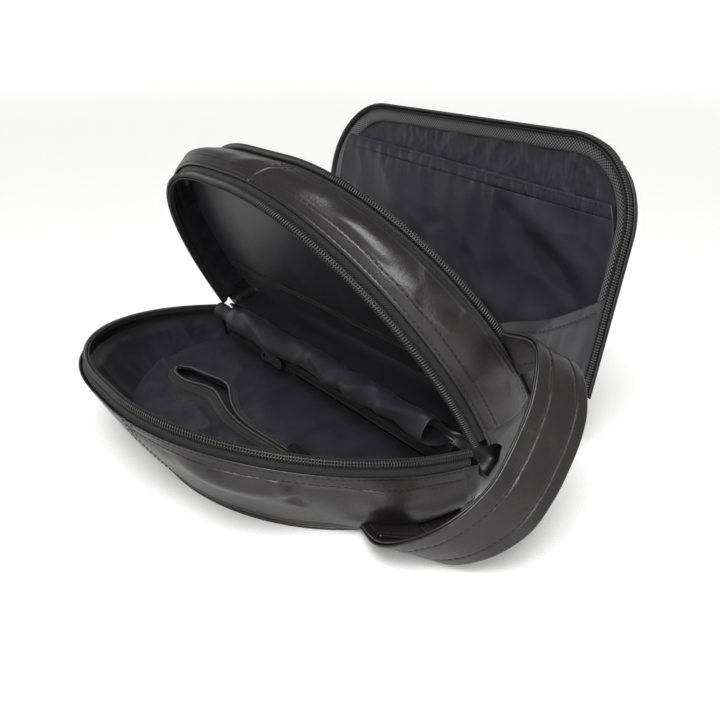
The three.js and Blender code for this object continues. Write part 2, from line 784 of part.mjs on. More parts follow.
// The two plies are sewn together, and a short patch is sewn over the lower end
function buildStrap() {
  const at = strapPoint();
  const ply = (from) =>
    sheetSolid((u, v) => at(u, v, from), (u, v) => at(u, v, from + strapPly), 40, 2);
  add(bag, "strap_inner_ply", ply(seat / 2), leatherFinish);
  add(bag, "strap_outer_ply", ply(-seat / 2 - strapPly), leatherFinish);
  const lift = seat / 2 + strapPly + seat;
  const along = (u) => (patchOffset + u * patchLength) / strapLength;
  const inner = (v) => 1 / 2 + (v - 1 / 2) * patchWidthShare;
  const patch = sheetSolid(
    (u, v) => at(along(u), inner(v), lift),
    (u, v) => at(along(u), inner(v), lift + strapPly),
    4,
    2,
  );
  add(bag, "strap_end_patch", patch, leatherFinish);
}

buildStrap();

// Sliders run on the coils, and each carries a pull

function sliderBody() {
  const shape = new THREE.Shape();
  const half = sliderWidth / 2;
  const nose = sliderWidth / 4;
  shape.moveTo(-half, -sliderLength / 2);
  shape.lineTo(half, -sliderLength / 2);
  shape.lineTo(half, sliderLength / 4);
  shape.quadraticCurveTo(half, sliderLength / 2, nose, sliderLength / 2);
  shape.lineTo(-nose, sliderLength / 2);
  shape.quadraticCurveTo(-half, sliderLength / 2, -half, sliderLength / 4);
  shape.closePath();
  return new THREE.ExtrudeGeometry(shape, { depth: sliderHeight, bevelEnabled: false, curveSegments: 4 });
}

function pullBody() {
  const shape = new THREE.Shape();
  const half = pullWidth / 2;
  shape.moveTo(-half, half);
  shape.lineTo(half, half);
  shape.lineTo(half, half + half - pullLength);
  shape.absarc(0, half + half - pullLength, half, 0, -Math.PI, true);
  shape.closePath();
  const eye = new THREE.Path();
  eye.absarc(0, 0, half / 2, 0, 2 * Math.PI, false);
  shape.holes.push(eye);
  return new THREE.ExtrudeGeometry(shape, { depth: pullThickness, bevelEnabled: false, curveSegments: 5 });
}

// A slider lies with its length on the given way and its top facing away from what it rides on.
// Its pull turns just past its nose, and lies back over its top
function placeSlider(group, name, centre, length, top) {
  const holder = new THREE.Group();
  const width = new THREE.Vector3().crossVectors(length, top);
  holder.matrixAutoUpdate = false;
  holder.matrix.makeBasis(width, length, top).setPosition(centre);
  add(holder, `${name}_slider`, sliderBody(), metalFinish);
  const pull = add(holder, `${name}_pull`, pullBody(), metalFinish);
  pull.position.set(0, sliderLength / 2 + seat + pullThickness / 2, sliderHeight + seat);
  group.add(holder);
}

// The main zip's tail lies tucked along the front shell's base wall, with the slider parked on it
function buildMainTail() {
  const lift = leather + seat + cloth + seat - baseOverhang;
  const mid = (leatherEdge + hingeHeight - pocketHeight) / 2;
  const along = (u) => tailFromMiddle + u * tailLength;
  const tapeAt = (u, v, out) => frontMouth(along(u), lift + out, mid + tailWidth * (v - 1 / 2));
  const tape = sheetSolid((u, v) => tapeAt(u, v, 0), (u, v) => tapeAt(u, v, webbing), 4, 2);
  add(bag, "main_zip_tail_tape", tape, tapeFinish);
  const coilLift = lift + webbing + seat + coilHeight / 4;
  const coil = ellipse(coilLift, mid, coilHeight / 2, 2 * coilWidth, 8);
  const bead = beadSolid((u, out, depth) => frontMouth(along(u), out, depth), coil, 6);
  add(bag, "main_zip_tail_coil", bead, coilFinish);
  const at = frontMouth(tailFromMiddle + tailLength / 4, coilLift + coilHeight / 4 + seat, mid);
  placeSlider(bag, "main", at, new THREE.Vector3(0, 1, 0), frontUp);
}

function buildPocketSlider() {
  const y = pocketZipOffset - pocketZipLength / 2 + sliderLength;
  const top = pocketHeight + cloth + coilHeight / 2 + seat;
  const at = tableLay(y, pocketZipFromHinge, top);
  placeSlider(bag, "pocket", at, new THREE.Vector3(0, -1, 0), new THREE.Vector3(0, 0, 1));
}

// The rear zip's slider is parked low on the lid's far side
function buildRearSlider() {
  const at = lidMouth(mouthWidth / 2 + leatherInner, parkHeight, lidEdge - seat - sliderWidth / 2);
  placeSlider(lid, "rear", at, new THREE.Vector3(0, 0, 1), new THREE.Vector3(0, 1, 0));
}

buildMainTail();
buildPocketSlider();
buildRearSlider();

export default bag;
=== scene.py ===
# A three-section toiletry bag of black imitation leather, lying open on its front panel.
# Sizes are in millimetres and match the CAD source; meshes are made in metres.
import bpy
import json
import math
import numpy as np
from mathutils import Matrix, Vector


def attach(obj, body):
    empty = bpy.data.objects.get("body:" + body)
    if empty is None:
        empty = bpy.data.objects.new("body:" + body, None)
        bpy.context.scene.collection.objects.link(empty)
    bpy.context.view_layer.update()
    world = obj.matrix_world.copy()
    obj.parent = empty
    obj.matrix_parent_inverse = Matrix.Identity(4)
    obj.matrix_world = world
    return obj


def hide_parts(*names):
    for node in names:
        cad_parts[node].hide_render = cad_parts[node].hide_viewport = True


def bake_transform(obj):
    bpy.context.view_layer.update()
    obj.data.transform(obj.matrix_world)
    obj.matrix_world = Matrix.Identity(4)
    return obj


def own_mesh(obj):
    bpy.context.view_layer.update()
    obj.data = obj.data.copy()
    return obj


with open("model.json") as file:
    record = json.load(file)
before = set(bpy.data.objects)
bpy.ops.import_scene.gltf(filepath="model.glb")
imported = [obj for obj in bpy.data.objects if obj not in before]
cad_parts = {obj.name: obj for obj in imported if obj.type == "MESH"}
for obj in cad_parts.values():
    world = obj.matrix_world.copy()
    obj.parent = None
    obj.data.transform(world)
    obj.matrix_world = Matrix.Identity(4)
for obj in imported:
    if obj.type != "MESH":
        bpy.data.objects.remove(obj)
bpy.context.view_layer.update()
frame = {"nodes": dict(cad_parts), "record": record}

MM = 0.001

# Driving sizes of the three sections, measured between the zip coils
MOUTH_WIDTH = 250.0
MOUTH_HEIGHT = 127.0
MOUTH_RADIUS = 115.0
LID_HEIGHT = 126.0
LID_RADIUS = 46.0
LID_DEPTH = 12.0
LID_TAPER = 7.0
BAND_DEPTH = 45.0
PANEL_LENGTH = 107.0
PANEL_INSET = 9.0
PANEL_WIDTH = MOUTH_WIDTH - 2 * PANEL_INSET
PANEL_RADIUS = 105.0
PANEL_SQUASH_SHARE = 0.84

# How the bag stands open
MOUTH_TILT = 10.0
MIDDLE_LEAN = 30.0
REAR_TAPER = 4.2
LID_LEAN = 12.7
HINGE_HEIGHT = 35.0
GUSSET_SPAN = 36.4
GUSSET_DROP = 18.7
REAR_DROP = 5.0
REAR_SHIFT = -12.0
REAR_FAR_RADIUS = 97.0

# Sheets and the clearance between them
LEATHER = 1.1
CLOTH = 0.6
WEBBING = 0.6
BOARD = 1.6
PANEL_LEATHER = 2.0
STIFFENER = 3.0
SEAT = 0.3

# Zips, walls and base
COIL_WIDTH = 2.6
COIL_HEIGHT = 2.6
COIL_CLEARANCE = 0.9
COIL_PITCH = 1.4
COIL_WIRE = 0.75
TAPE_SHOWN = 4.0
TAPE_HIDDEN = 4.0
WALL_BULGE = 2.5
BAND_BULGE = 4.0
BASE_OVERHANG = 8.0
CORNER_RADIUS = 6.5
WALL_MARGIN = 3.0
SEAM_SHARE = 0.43
WALL_END = 6.0

# Inner pocket, partition, lid fittings and the lining fold
POCKET_HEIGHT = 12.0
POCKET_ZIP_FROM_HINGE = 52.0
POCKET_ZIP_LENGTH = 160.0
POCKET_ZIP_OFFSET = 6.0
POCKET_TAPE = 5.0
POCKET_PITCH = 1.1
PARTITION_FROM_MOUTH = 24.0
ROLL_WIDTH = 8.0
ROLL_HEIGHT = 3.8
SLIP_FROM_TOP = 33.0
SLIP_BOTTOM = 5.0
SLIP_GAP = 5.0
SLIP_SLANT = 5.0
HEM_HEIGHT = 7.0
SIDE_GUSSET_HEIGHT = 50.0
GUSSET_HEM_SHARE = 0.86
GUSSET_STITCH_SHARE = 0.88
GUSSET_BEND_SHARE = 0.5
PLEAT_RADIUS = 5.5
PLEAT_INSET = 18.0
PLEAT_LENGTH = MOUTH_WIDTH - 2 * PLEAT_INSET
PLEAT_HEIGHT = 9.0
PLEAT_REACH = 9.0
BINDING_LENGTH = 206.0
BINDING_WIDTH = 5.0
BINDING_ABOVE_POCKET = 7.0

# Strap, sliders and pulls
STRAP_WIDTH = 26.0
STRAP_PLY = 1.3
STRAP_REACH = 50.0
STRAP_LENGTH = 184.0
PATCH_OFFSET = 4.0
PATCH_LENGTH = 14.0
PATCH_WIDTH_SHARE = 0.8
PATCH_SEAM = 2.5
TAB_CORNER = (13.0, -115.0)
TAB_SIZE = (28.0, -12.0)
TAB_SEAMS = (16.5, 22.5)
TAB_TOP = 4.6
STRAP_STITCHES = (7.0, 20.5)
TAIL_LENGTH = 80.0
TAIL_WIDTH = 12.0
TAIL_FROM_MIDDLE = 32.0

# Sewing
STITCH_PITCH = 3.1
STITCH_LENGTH = 2.2
THREAD = 0.6
HEM_STITCH = 1.3
HEM_FOLD = 6.2

# Where the layers lie, outward from the coil's line
TAPE_OUTER = COIL_WIDTH / 2
LEATHER_INNER = TAPE_OUTER + SEAT
LEATHER_OUTER = LEATHER_INNER + LEATHER
LINING_OUTER = TAPE_OUTER - WEBBING - SEAT
LINING_INNER = LINING_OUTER - CLOTH
LEATHER_EDGE = COIL_CLEARANCE + COIL_HEIGHT + SEAT + TAPE_SHOWN
WALL_FOOT = PANEL_LEATHER + SEAT
BAND_LEATHER = BAND_DEPTH - 2 * LEATHER_EDGE
PARTITION_SHARE = (PARTITION_FROM_MOUTH - LEATHER_EDGE) / BAND_LEATHER
LID_EDGE = COIL_CLEARANCE + COIL_HEIGHT + SEAT + TAPE_SHOWN / 2
LID_BACK = LID_DEPTH - LEATHER
LID_LINING = LID_BACK - SEAT - BOARD - SEAT - CLOTH
LID_RIM_WIDTH = 6.0


# Outlines and frames

def across(degrees):
    turn = math.radians(degrees)
    return np.array([math.cos(turn), 0.0, math.sin(turn)])


def arch(half, height, radius, far=None, squash=1.0, shift=0.0, start=0.0, flip=1.0):
    """An outline that stands on the hinge: a share of its length gives y and height, moved outwards."""
    far = far or radius
    tall = height / squash
    turn, far_turn = math.pi / 2 * radius, math.pi / 2 * far
    side, far_side, top = tall - radius, tall - far, 2 * half - radius - far
    total = side + turn + top + far_turn + far_side

    def at(share, out=0.0):
        s, out = np.broadcast_arrays(np.asarray(share, float) * total, out)
        near = s < side + turn + top / 2
        angle = np.clip((s - side) / radius, 0, math.pi / 2)
        far_angle = math.pi / 2 + np.clip((s - side - turn - top) / far, 0, math.pi / 2)
        angle = np.where(near, angle, far_angle)
        bend, foot = np.where(near, radius, far), np.where(near, side, far_side)
        middle = np.where(near, radius - half, half - far)
        flat = np.where(near, np.clip(s - side - turn, 0, None), -np.clip(side + turn + top - s, 0, None))
        y = middle - bend * np.cos(angle) + flat
        h = np.minimum(np.minimum(s, total - s), foot) + bend * np.sin(angle)
        outward = np.stack([-np.cos(angle), np.sin(angle) / squash])
        outward = outward / np.hypot(*outward)
        high = h * squash + outward[1] * out
        return y + outward[0] * out + shift * high / height, flip * high + start

    at.length = total
    return at


def lay(origin, up, into):
    def place(y, h, depth=0.0):
        y, h, depth = np.broadcast_arrays(y, h, depth)
        point = origin + h[..., None] * up + depth[..., None] * into
        point[..., 1] = point[..., 1] + y
        return point

    return place


def placed(frame_of, outline):
    return lambda share, out=0.0, depth=0.0: frame_of(*outline(share, out), depth)


def smooth(x):
    x = np.clip(x, 0, 1)
    return x * x * (3 - 2 * x)


def loft(start, start_depth, end, end_depth, bulge):
    """A wall between two placed outlines: share runs along it and v from one to the other."""
    def at(share, v, out=0.0):
        share, v, out = np.broadcast_arrays(np.asarray(share, float), v, out)
        swell = out + bulge * np.sin(math.pi * np.clip(v, 0, 1))
        a = start(share, swell, start_depth)
        b = end(share, swell, end_depth)
        return a + (b - a) * v[..., None]

    return at


HINGE = np.array([PANEL_LENGTH / 2 - BASE_OVERHANG, 0.0, HINGE_HEIGHT])
front_mouth = lay(HINGE, across(180 - MOUTH_TILT), across(-90 - MOUTH_TILT))
table = lay(np.array([HINGE[0], 0.0, 0.0]), np.array([-1.0, 0, 0]), np.array([0, 0, 1.0]))
middle_mouth = lay(HINGE, across(90 + MIDDLE_LEAN), across(MIDDLE_LEAN))
REAR_BASE = HINGE + BAND_DEPTH * across(MIDDLE_LEAN) - REAR_DROP * across(90 + MIDDLE_LEAN)
rear_mouth = lay(REAR_BASE, across(90 + MIDDLE_LEAN + REAR_TAPER), across(180 + MIDDLE_LEAN + REAR_TAPER))
LID_FOOT = REAR_BASE + GUSSET_SPAN * across(-GUSSET_DROP)
lid_mouth = lay(LID_FOOT, across(90 - LID_LEAN), across(-LID_LEAN))

mouth_arch = arch(MOUTH_WIDTH / 2, MOUTH_HEIGHT, MOUTH_RADIUS)
WALL_END_SHARE = WALL_END / mouth_arch.length
rear_arch = arch(MOUTH_WIDTH / 2, MOUTH_HEIGHT, MOUTH_RADIUS, far=REAR_FAR_RADIUS, shift=REAR_SHIFT)
panel_arch = arch(PANEL_WIDTH / 2, PANEL_LENGTH - BASE_OVERHANG, PANEL_RADIUS, squash=PANEL_SQUASH_SHARE)
lid_arch = arch(MOUTH_WIDTH / 2, LID_HEIGHT, LID_RADIUS)
BASE_DROP = BASE_OVERHANG - LEATHER_OUTER
BASE_CORNER = CORNER_RADIUS - LEATHER_OUTER
base_arch = arch(MOUTH_WIDTH / 2, BASE_DROP, BASE_CORNER, start=-SEAT, flip=-1)
panel_base_arch = arch(PANEL_WIDTH / 2 - LEATHER_OUTER, BASE_DROP, BASE_CORNER, start=-SEAT, flip=-1)

front_place = placed(front_mouth, mouth_arch)
middle_place = placed(middle_mouth, mouth_arch)
rear_place = placed(rear_mouth, rear_arch)
LID_TAPE_DEPTH = COIL_CLEARANCE + COIL_HEIGHT + SEAT


def lid_inset(depth):
    """The lid narrows from its zip to its back."""
    return LID_TAPER * np.maximum(0, np.asarray(depth) - LID_TAPE_DEPTH) / (LID_DEPTH - LID_TAPE_DEPTH)


def lid_place(share, out=0.0, depth=0.0):
    return lid_mouth(*lid_arch(share, np.asarray(out) - lid_inset(depth)), depth)


def panel_place(share, out=0.0, depth=0.0):
    return table(*panel_arch(share, np.asarray(out) - LEATHER_OUTER), depth)


front_wall = loft(front_place, LEATHER_EDGE, panel_place, WALL_FOOT, WALL_BULGE)
band_wall = loft(middle_place, LEATHER_EDGE, rear_place, LEATHER_EDGE, BAND_BULGE)


def wall_length(wall, share):
    return np.linalg.norm(wall(share, 1.0) - wall(share, 0.0), axis=-1)


# Uneven swelling, folds and creases of soft sheets

def ripple(x, y, size, seed, layers=5):
    """Soft unevenness of about the given size, from -1 to 1."""
    chance = np.random.default_rng(seed)
    total = 0.0
    for _ in range(layers):
        turn, phase, slow = chance.uniform(0, 2 * math.pi, 3)
        wave = size * chance.uniform(0.7, 1.6)
        along = (x * math.cos(turn) + y * math.sin(turn)) / wave
        side = (y * math.cos(turn) - x * math.sin(turn)) / wave
        total = total + np.sin(2 * math.pi * along + phase + 0.9 * np.sin(2.4 * side + slow))
    return total / layers


def crumple(x, y, size, seed, layers=4):
    """Sharp little ridges with hollows between, as thin taffeta takes them: from 0 to 1."""
    chance = np.random.default_rng(seed)
    total = 0.0
    for layer in range(layers):
        turn, phase = chance.uniform(0, 2 * math.pi, 2)
        wave = size * chance.uniform(0.7, 1.7)
        bend = 0.6 * ripple(x, y, 2.5 * size, seed + 50 + layer, 3)
        along = (x * math.cos(turn) + y * math.sin(turn)) / wave + bend
        total = total + (1 - np.abs(np.sin(math.pi * along + phase))) ** 1.4
    return total / layers


def crease(x, y, start, end, width, height):
    """A fold along a line on the sheet, fading at both ends."""
    start, end = np.array(start, float), np.array(end, float)
    line = end - start
    length = np.linalg.norm(line)
    line = line / length
    along = ((x - start[0]) * line[0] + (y - start[1]) * line[1]) / length
    side = (x - start[0]) * -line[1] + (y - start[1]) * line[0]
    fade = smooth(along * 4 + 0.6) * smooth((1 - along) * 4 + 0.6)
    return height * fade * np.exp(-(side / width) ** 2)


def mound(x, y, place, size, height):
    """A swelling, or a dent where the height is negative."""
    return height * np.exp(-((x - place[0]) / size[0]) ** 2 - ((y - place[1]) / size[1]) ** 2)


def shaped(x, y, folds, mounds=()):
    return sum(crease(x, y, *fold) for fold in folds) + sum(mound(x, y, *each) for each in mounds)


def groove(distance, width, depth):
    return -depth * np.exp(-(distance / width) ** 2)


def inside_edges(value, low, high, reach):
    """Nought at both edges of a span and one from the given reach inwards."""
    return smooth((value - low) / reach) * smooth((high - value) / reach)


# Meshes

def new_piece(name, points, faces, material, uv=None):
    mesh = bpy.data.meshes.new(name)
    mesh.from_pydata((np.asarray(points) * MM).tolist(), [], faces)
    mesh.update()
    mesh.shade_smooth()
    if uv is not None:
        layer = mesh.uv_layers.new(name="Cut")
        corner = np.empty(len(mesh.loops), np.int32)
        mesh.loops.foreach_get("vertex_index", corner)
        layer.uv.foreach_set("vector", (np.asarray(uv, np.float32) * MM)[corner].ravel())
    mesh.materials.append(material)
    piece = bpy.data.objects.new(name, mesh)
    bpy.context.scene.collection.objects.link(piece)
    return piece


def signed_volume(points, quads):
    a, b, c, d = (points[quads[:, i]] for i in range(4))
    first = np.einsum("ij,ij->i", a, np.cross(b, c)).sum()
    return first + np.einsum("ij,ij->i", a, np.cross(c, d)).sum()


def rim_of(run):
    """The numbers of a grid's outermost points, in order round it."""
    return np.concatenate([run[:, 0], run[-1, 1:], run[-2::-1, -1], run[0, -2:0:-1]])


def distances(face):
    """How far each column and row lies along the sheet."""
    step_x = np.linalg.norm(np.diff(face, axis=0), axis=-1).mean(axis=1)
    step_y = np.linalg.norm(np.diff(face, axis=1), axis=-1).mean(axis=0)
    return np.concatenate([[0], np.cumsum(step_x)]), np.concatenate([[0], np.cumsum(step_y)])


def measure_cut(face):
    """Works out the steps across the sheet's columns and rows, and keeps nothing."""
    across_x, across_y = np.diff(face, axis=0), np.diff(face, axis=1)


def cloth_sheet(name, place, thickness, material):
    """A closed sheet with rounded edges. place(lift) gives its shown face, moved towards the shown side."""
    face, back = place(0.0), place(-thickness)
    columns, rows = face.shape[:2]
    run = np.arange(columns * rows).reshape(columns, rows)
    edge = rim_of(run)
    inner_column = np.clip(np.arange(columns), 1, columns - 2)[:, None]
    inner_row = np.clip(np.arange(rows), 1, rows - 2)[None, :]
    inner = run[inner_column, inner_row].ravel()[edge]
    flat_face, flat_back = face.reshape(-1, 3), back.reshape(-1, 3)
    outward = flat_face[edge] - flat_face[inner]
    outward = outward / np.maximum(np.linalg.norm(outward, axis=1, keepdims=True), 1e-9)
    half = np.linalg.norm(flat_face[edge] - flat_back[edge], axis=1, keepdims=True) / 2
    middle = (flat_face[edge] + flat_back[edge]) / 2
    rims = [middle + outward * half * 0.8 + (flat_face[edge] - middle) * 0.6,
            middle + outward * half * 0.8 + (flat_back[edge] - middle) * 0.6]
    points = np.concatenate([flat_face, flat_back, *rims])
    count, around = columns * rows, len(edge)
    a, b, c, d = run[:-1, :-1], run[1:, :-1], run[1:, 1:], run[:-1, 1:]
    front = np.stack([a, b, c, d], -1).reshape(-1, 4)
    rear = np.stack([a, d, c, b], -1).reshape(-1, 4) + count
    number = np.arange(around)
    rings = [edge, 2 * count + number, 2 * count + around + number, edge + count]
    bands = [np.stack([np.roll(p, -1), p, q, np.roll(q, -1)], -1) for p, q in zip(rings, rings[1:])]
    faces = np.concatenate([front, rear, *bands])
    if signed_volume(points, faces) < 0:
        faces = faces[:, ::-1]
    measure_cut(face)
    uv = np.stack(np.meshgrid(*distances(face), indexing="ij"), -1).reshape(-1, 2)
    return new_piece(name, points, faces.tolist(), material, np.concatenate([uv, uv, uv[edge], uv[edge]]))


def shares(columns, rows):
    return np.meshgrid(np.linspace(0, 1, columns + 1), np.linspace(0, 1, rows + 1), indexing="ij")


def tube(name, ways, radius, sides, material):
    """Round tubes along the given paths, as one piece. The radius is one value, or one for each path."""
    sizes = radius if isinstance(radius, list) else [radius] * len(ways)
    points, faces, first = [], [], 0
    turn = np.arange(sides) * 2 * math.pi / sides
    side_number = np.arange(sides)
    next_side = (side_number + 1) % sides
    for way, size in zip(ways, sizes):
        ahead = np.gradient(way, axis=0)
        ahead = ahead / np.maximum(np.linalg.norm(ahead, axis=1, keepdims=True), 1e-9)
        side = np.cross(ahead, np.array([0.123, 0.456, 0.881]))
        side = side / np.maximum(np.linalg.norm(side, axis=1, keepdims=True), 1e-9)
        other = np.cross(ahead, side)
        ring = side[:, None] * np.cos(turn)[None, :, None] + other[:, None] * np.sin(turn)[None, :, None]
        points.append((way[:, None] + ring * size).reshape(-1, 3))
        start = first + np.arange(len(way) - 1)[:, None] * sides
        quads = np.stack([start + side_number, start + next_side,
                          start + sides + next_side, start + sides + side_number], -1)
        faces.extend(quads.reshape(-1, 4).tolist())
        last = first + (len(way) - 1) * sides
        faces.append((first + side_number[::-1]).tolist())
        faces.append((last + side_number).tolist())
        first += len(way) * sides
    return new_piece(name, np.concatenate(points), faces, material)


def stitch_row(place, pitch=STITCH_PITCH, length=STITCH_LENGTH):
    """Short lengths of thread that dip into the leather at both ends. place(lift) gives the seam's line."""
    path = place(0.0)
    outward = place(1.0) - path
    run = np.concatenate([[0], np.cumsum(np.linalg.norm(np.diff(path, axis=0), axis=1))])
    rows = []
    for k in range(int((run[-1] - length) / pitch) + 1):
        at = np.linspace(k * pitch, k * pitch + length, 5)
        spot = np.stack([np.interp(at, run, path[:, i]) for i in range(3)], 1)
        out = np.stack([np.interp(at, run, outward[:, i]) for i in range(3)], 1)
        lift = np.array([-0.7, -0.05, 0.05, -0.05, -0.7]) * THREAD
        rows.append(spot + out * lift[:, None])
    return rows


def stitches(name, lines, body):
    rows = [way for line in lines for way in stitch_row(line)]
    return settle(tube(name, rows, THREAD / 2, 5, thread), body)


def coil_turns(place, length, pitch, aside, up, steps=12):
    """A zip coil's wire, a flattened spiral: place(share, aside, up) gives a spot by its middle line."""
    turns = length / pitch
    turn = np.linspace(0, 2 * math.pi * turns, int(turns * steps))
    return place(turn / turn[-1], aside * np.sin(turn), up * np.cos(turn))


# Materials

def linear(hex_colour):
    """An sRGB hex colour as linear values."""
    value = hex_colour.lstrip("#")
    parts = [int(value[i:i + 2], 16) / 255 for i in (0, 2, 4)]
    return tuple(c / 12.92 if c <= 0.04045 else ((c + 0.055) / 1.055) ** 2.4 for c in parts) + (1.0,)


def add_node(tree, kind, inputs=None, **settings):
    """Adds a shader node. An input is a value, or another node's output to link."""
    made = tree.nodes.new("ShaderNode" + kind)
    for key, value in settings.items():
        setattr(made, key, value)
    for key, value in (inputs or {}).items():
        if isinstance(value, bpy.types.NodeSocket):
            tree.links.new(value, made.inputs[key])
        else:
            made.inputs[key].default_value = value
    return made


def new_material(name, **values):
    material = bpy.data.materials.new(name)
    material.use_nodes = True
    tree = material.node_tree
    shader = tree.nodes["Principled BSDF"]
    for key, value in values.items():
        shader.inputs[key.replace("_", " ")].default_value = value
    return material, tree, shader


def finish(tree, shader, shade, dark, light, relief, **settings):
    """Blends two colours by a shade, and gives the surface its relief."""
    colour = add_node(tree, "Mix", {0: shade, 6: dark, 7: light}, data_type="RGBA")
    tree.links.new(colour.outputs[2], shader.inputs["Base Color"])
    tree.links.new(add_node(tree, "Bump", relief, **settings).outputs[0], shader.inputs["Normal"])


def imitation_leather():
    """Polyurethane leather with a fine embossed grain: a soft gloss that the grain breaks up."""
    material, tree, shader = new_material("polyurethane_leather", IOR=1.47, Coat_Weight=0.1,
                                          Coat_Roughness=0.25)
    place = add_node(tree, "TexCoord").outputs["Object"]
    grain = add_node(tree, "TexVoronoi", {"Vector": place, "Scale": 1 / (0.9 * MM), "Randomness": 1.0})
    soft = add_node(tree, "TexNoise", {"Vector": place, "Scale": 1 / (14 * MM), "Detail": 4.0})
    fine = add_node(tree, "TexNoise", {"Vector": place, "Scale": 1 / (2.2 * MM), "Detail": 3.0})
    shade = add_node(tree, "MapRange", {"Value": soft.outputs["Fac"], "From Min": 0.35, "From Max": 0.7})
    gloss = add_node(tree, "MapRange", {"Value": fine.outputs["Fac"], "To Min": 0.36, "To Max": 0.48})
    tree.links.new(gloss.outputs[0], shader.inputs["Roughness"])
    embossed = add_node(tree, "Bump", {"Height": grain.outputs["Distance"], "Strength": 0.4,
                                       "Distance": 0.14 * MM}).outputs[0]
    finish(tree, shader, shade.outputs[0], linear("#161314"), linear("#1e1a1a"),
           {"Height": fine.outputs["Fac"], "Strength": 0.4, "Distance": 0.3 * MM, "Normal": embossed})
    return material


def nylon_taffeta():
    """Plain weave of nylon, blue-black, with a faint silky sheen on its folds."""
    material, tree, shader = new_material("nylon_taffeta_lining", IOR=1.4, Roughness=0.45,
                                          Sheen_Weight=0.03, Sheen_Roughness=0.4)
    place = add_node(tree, "UVMap", uv_map="Cut").outputs[0]
    # Coarser than the real threads, so that they show
    thread_gap = 0.7 * MM
    threads = {"Vector": place, "Scale": 1 / (math.pi * thread_gap), "Distortion": 0.6, "Detail": 1.0,
               "Detail Scale": 2.0}
    warp, weft = (add_node(tree, "TexWave", threads, bands_direction=way).outputs["Fac"]
                  for way in ("X", "Y"))
    cross = add_node(tree, "Math", {0: warp, 1: weft}, operation="MAXIMUM").outputs[0]
    cloud = add_node(tree, "TexNoise", {"Vector": place, "Scale": 1 / (18 * MM), "Detail": 3.0})
    shade = add_node(tree, "Math", {0: cross, 1: cloud.outputs["Fac"]}, operation="MULTIPLY")
    finish(tree, shader, shade.outputs[0], linear("#151519"), linear("#35343b"),
           {"Height": cross, "Strength": 0.2, "Distance": 0.1 * MM})
    return material


def herringbone_tape():
    """Zip tape woven in chevrons, which show as slanting ribs."""
    material, tree, shader = new_material("woven_zip_tape", IOR=1.45, Roughness=0.8, Sheen_Weight=0.05)
    split = add_node(tree, "SeparateXYZ", {"Vector": add_node(tree, "UVMap", uv_map="Cut").outputs[0]})
    fold = add_node(tree, "Math", {0: split.outputs["Y"], 1: 2.0 * MM}, operation="PINGPONG")
    lean = add_node(tree, "Math", {0: split.outputs["X"], 1: fold.outputs[0]}, operation="ADD")
    turn = add_node(tree, "Math", {0: lean.outputs[0], 1: 2 * math.pi / (1.1 * MM)}, operation="MULTIPLY")
    rib = add_node(tree, "Math", {0: turn.outputs[0]}, operation="SINE")
    height = add_node(tree, "MapRange", {"Value": rib.outputs[0], "From Min": -1.0}).outputs[0]
    finish(tree, shader, height, linear("#040405"), linear("#19191a"),
           {"Height": height, "Strength": 0.7, "Distance": 0.3 * MM})
    return material


def spacer_mesh():
    """Knitted spacer mesh: a net of small diamonds over a paler foam."""
    material, tree, shader = new_material("knitted_spacer_mesh", IOR=1.5, Roughness=0.7, Sheen_Weight=0.1)
    split = add_node(tree, "SeparateXYZ", {"Vector": add_node(tree, "UVMap", uv_map="Cut").outputs[0]})
    nets = []
    for way in ("ADD", "SUBTRACT"):
        lean = add_node(tree, "Math", {0: split.outputs["X"], 1: split.outputs["Y"]}, operation=way)
        turn = add_node(tree, "Math", {0: lean.outputs[0], 1: math.pi / (2.0 * MM)}, operation="MULTIPLY")
        wave = add_node(tree, "Math", {0: turn.outputs[0]}, operation="SINE")
        nets.append(add_node(tree, "Math", {0: wave.outputs[0]}, operation="ABSOLUTE").outputs[0])
    hole = add_node(tree, "Math", {0: nets[0], 1: nets[1]}, operation="MULTIPLY").outputs[0]
    net = add_node(tree, "MapRange", {"Value": hole, "From Min": 0.34, "From Max": 0.46}).outputs[0]
    finish(tree, shader, net, linear("#030304"), linear("#6e6e70"),
           {"Height": net, "Strength": 0.8, "Distance": 0.3 * MM}, invert=True)
    return material


def plain_finish(name, hex_colour, grain, strength, **values):
    """A moulded, spun or plated finish with a fine unevenness in colour and relief."""
    material, tree, shader = new_material(name, **values)
    place = add_node(tree, "TexCoord").outputs["Object"]
    noise = add_node(tree, "TexNoise", {"Vector": place, "Scale": 1 / (grain * MM), "Detail": 3.0})
    noise = noise.outputs["Fac"]
    base = linear(hex_colour)
    darker = tuple(c * 0.7 for c in base[:3]) + (1.0,)
    finish(tree, shader, noise, darker, base, {"Height": noise, "Strength": strength, "Distance": 0.1 * MM})
    return material


leather = imitation_leather()
lining = nylon_taffeta()
tape = herringbone_tape()
mesh_net = spacer_mesh()
# Nylon monofilament of the coils: smooth, so it catches small highlights
coil_nylon = plain_finish("nylon_monofilament", "#2b2a29", 1.0, 0.1, Roughness=0.4, IOR=1.53)
# Bonded polyester sewing thread, slightly waxy
thread = plain_finish("bonded_polyester_thread", "#070606", 0.3, 0.6, Roughness=0.6, IOR=1.45)
# Nickel plate over die-cast zinc
nickel = plain_finish("nickel_plate", "#b9b8b4", 3.0, 0.05, Roughness=0.22, Metallic=1.0)
# Extruded polyethylene board and grey chipboard, both hidden by their covers
board_plastic = plain_finish("polyethylene_board", "#1a1a1a", 2.0, 0.3, Roughness=0.6, IOR=1.51)
chipboard = plain_finish("grey_chipboard", "#6b655a", 1.2, 0.5, Roughness=0.9, IOR=1.5)


# Putting pieces on their bodies

def declare(piece, node=None):
    """Hides the CAD node that the piece replaces, which mostly has the piece's name."""
    node = node or piece.name.lower()
    if node in frame["nodes"]:
        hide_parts(node)


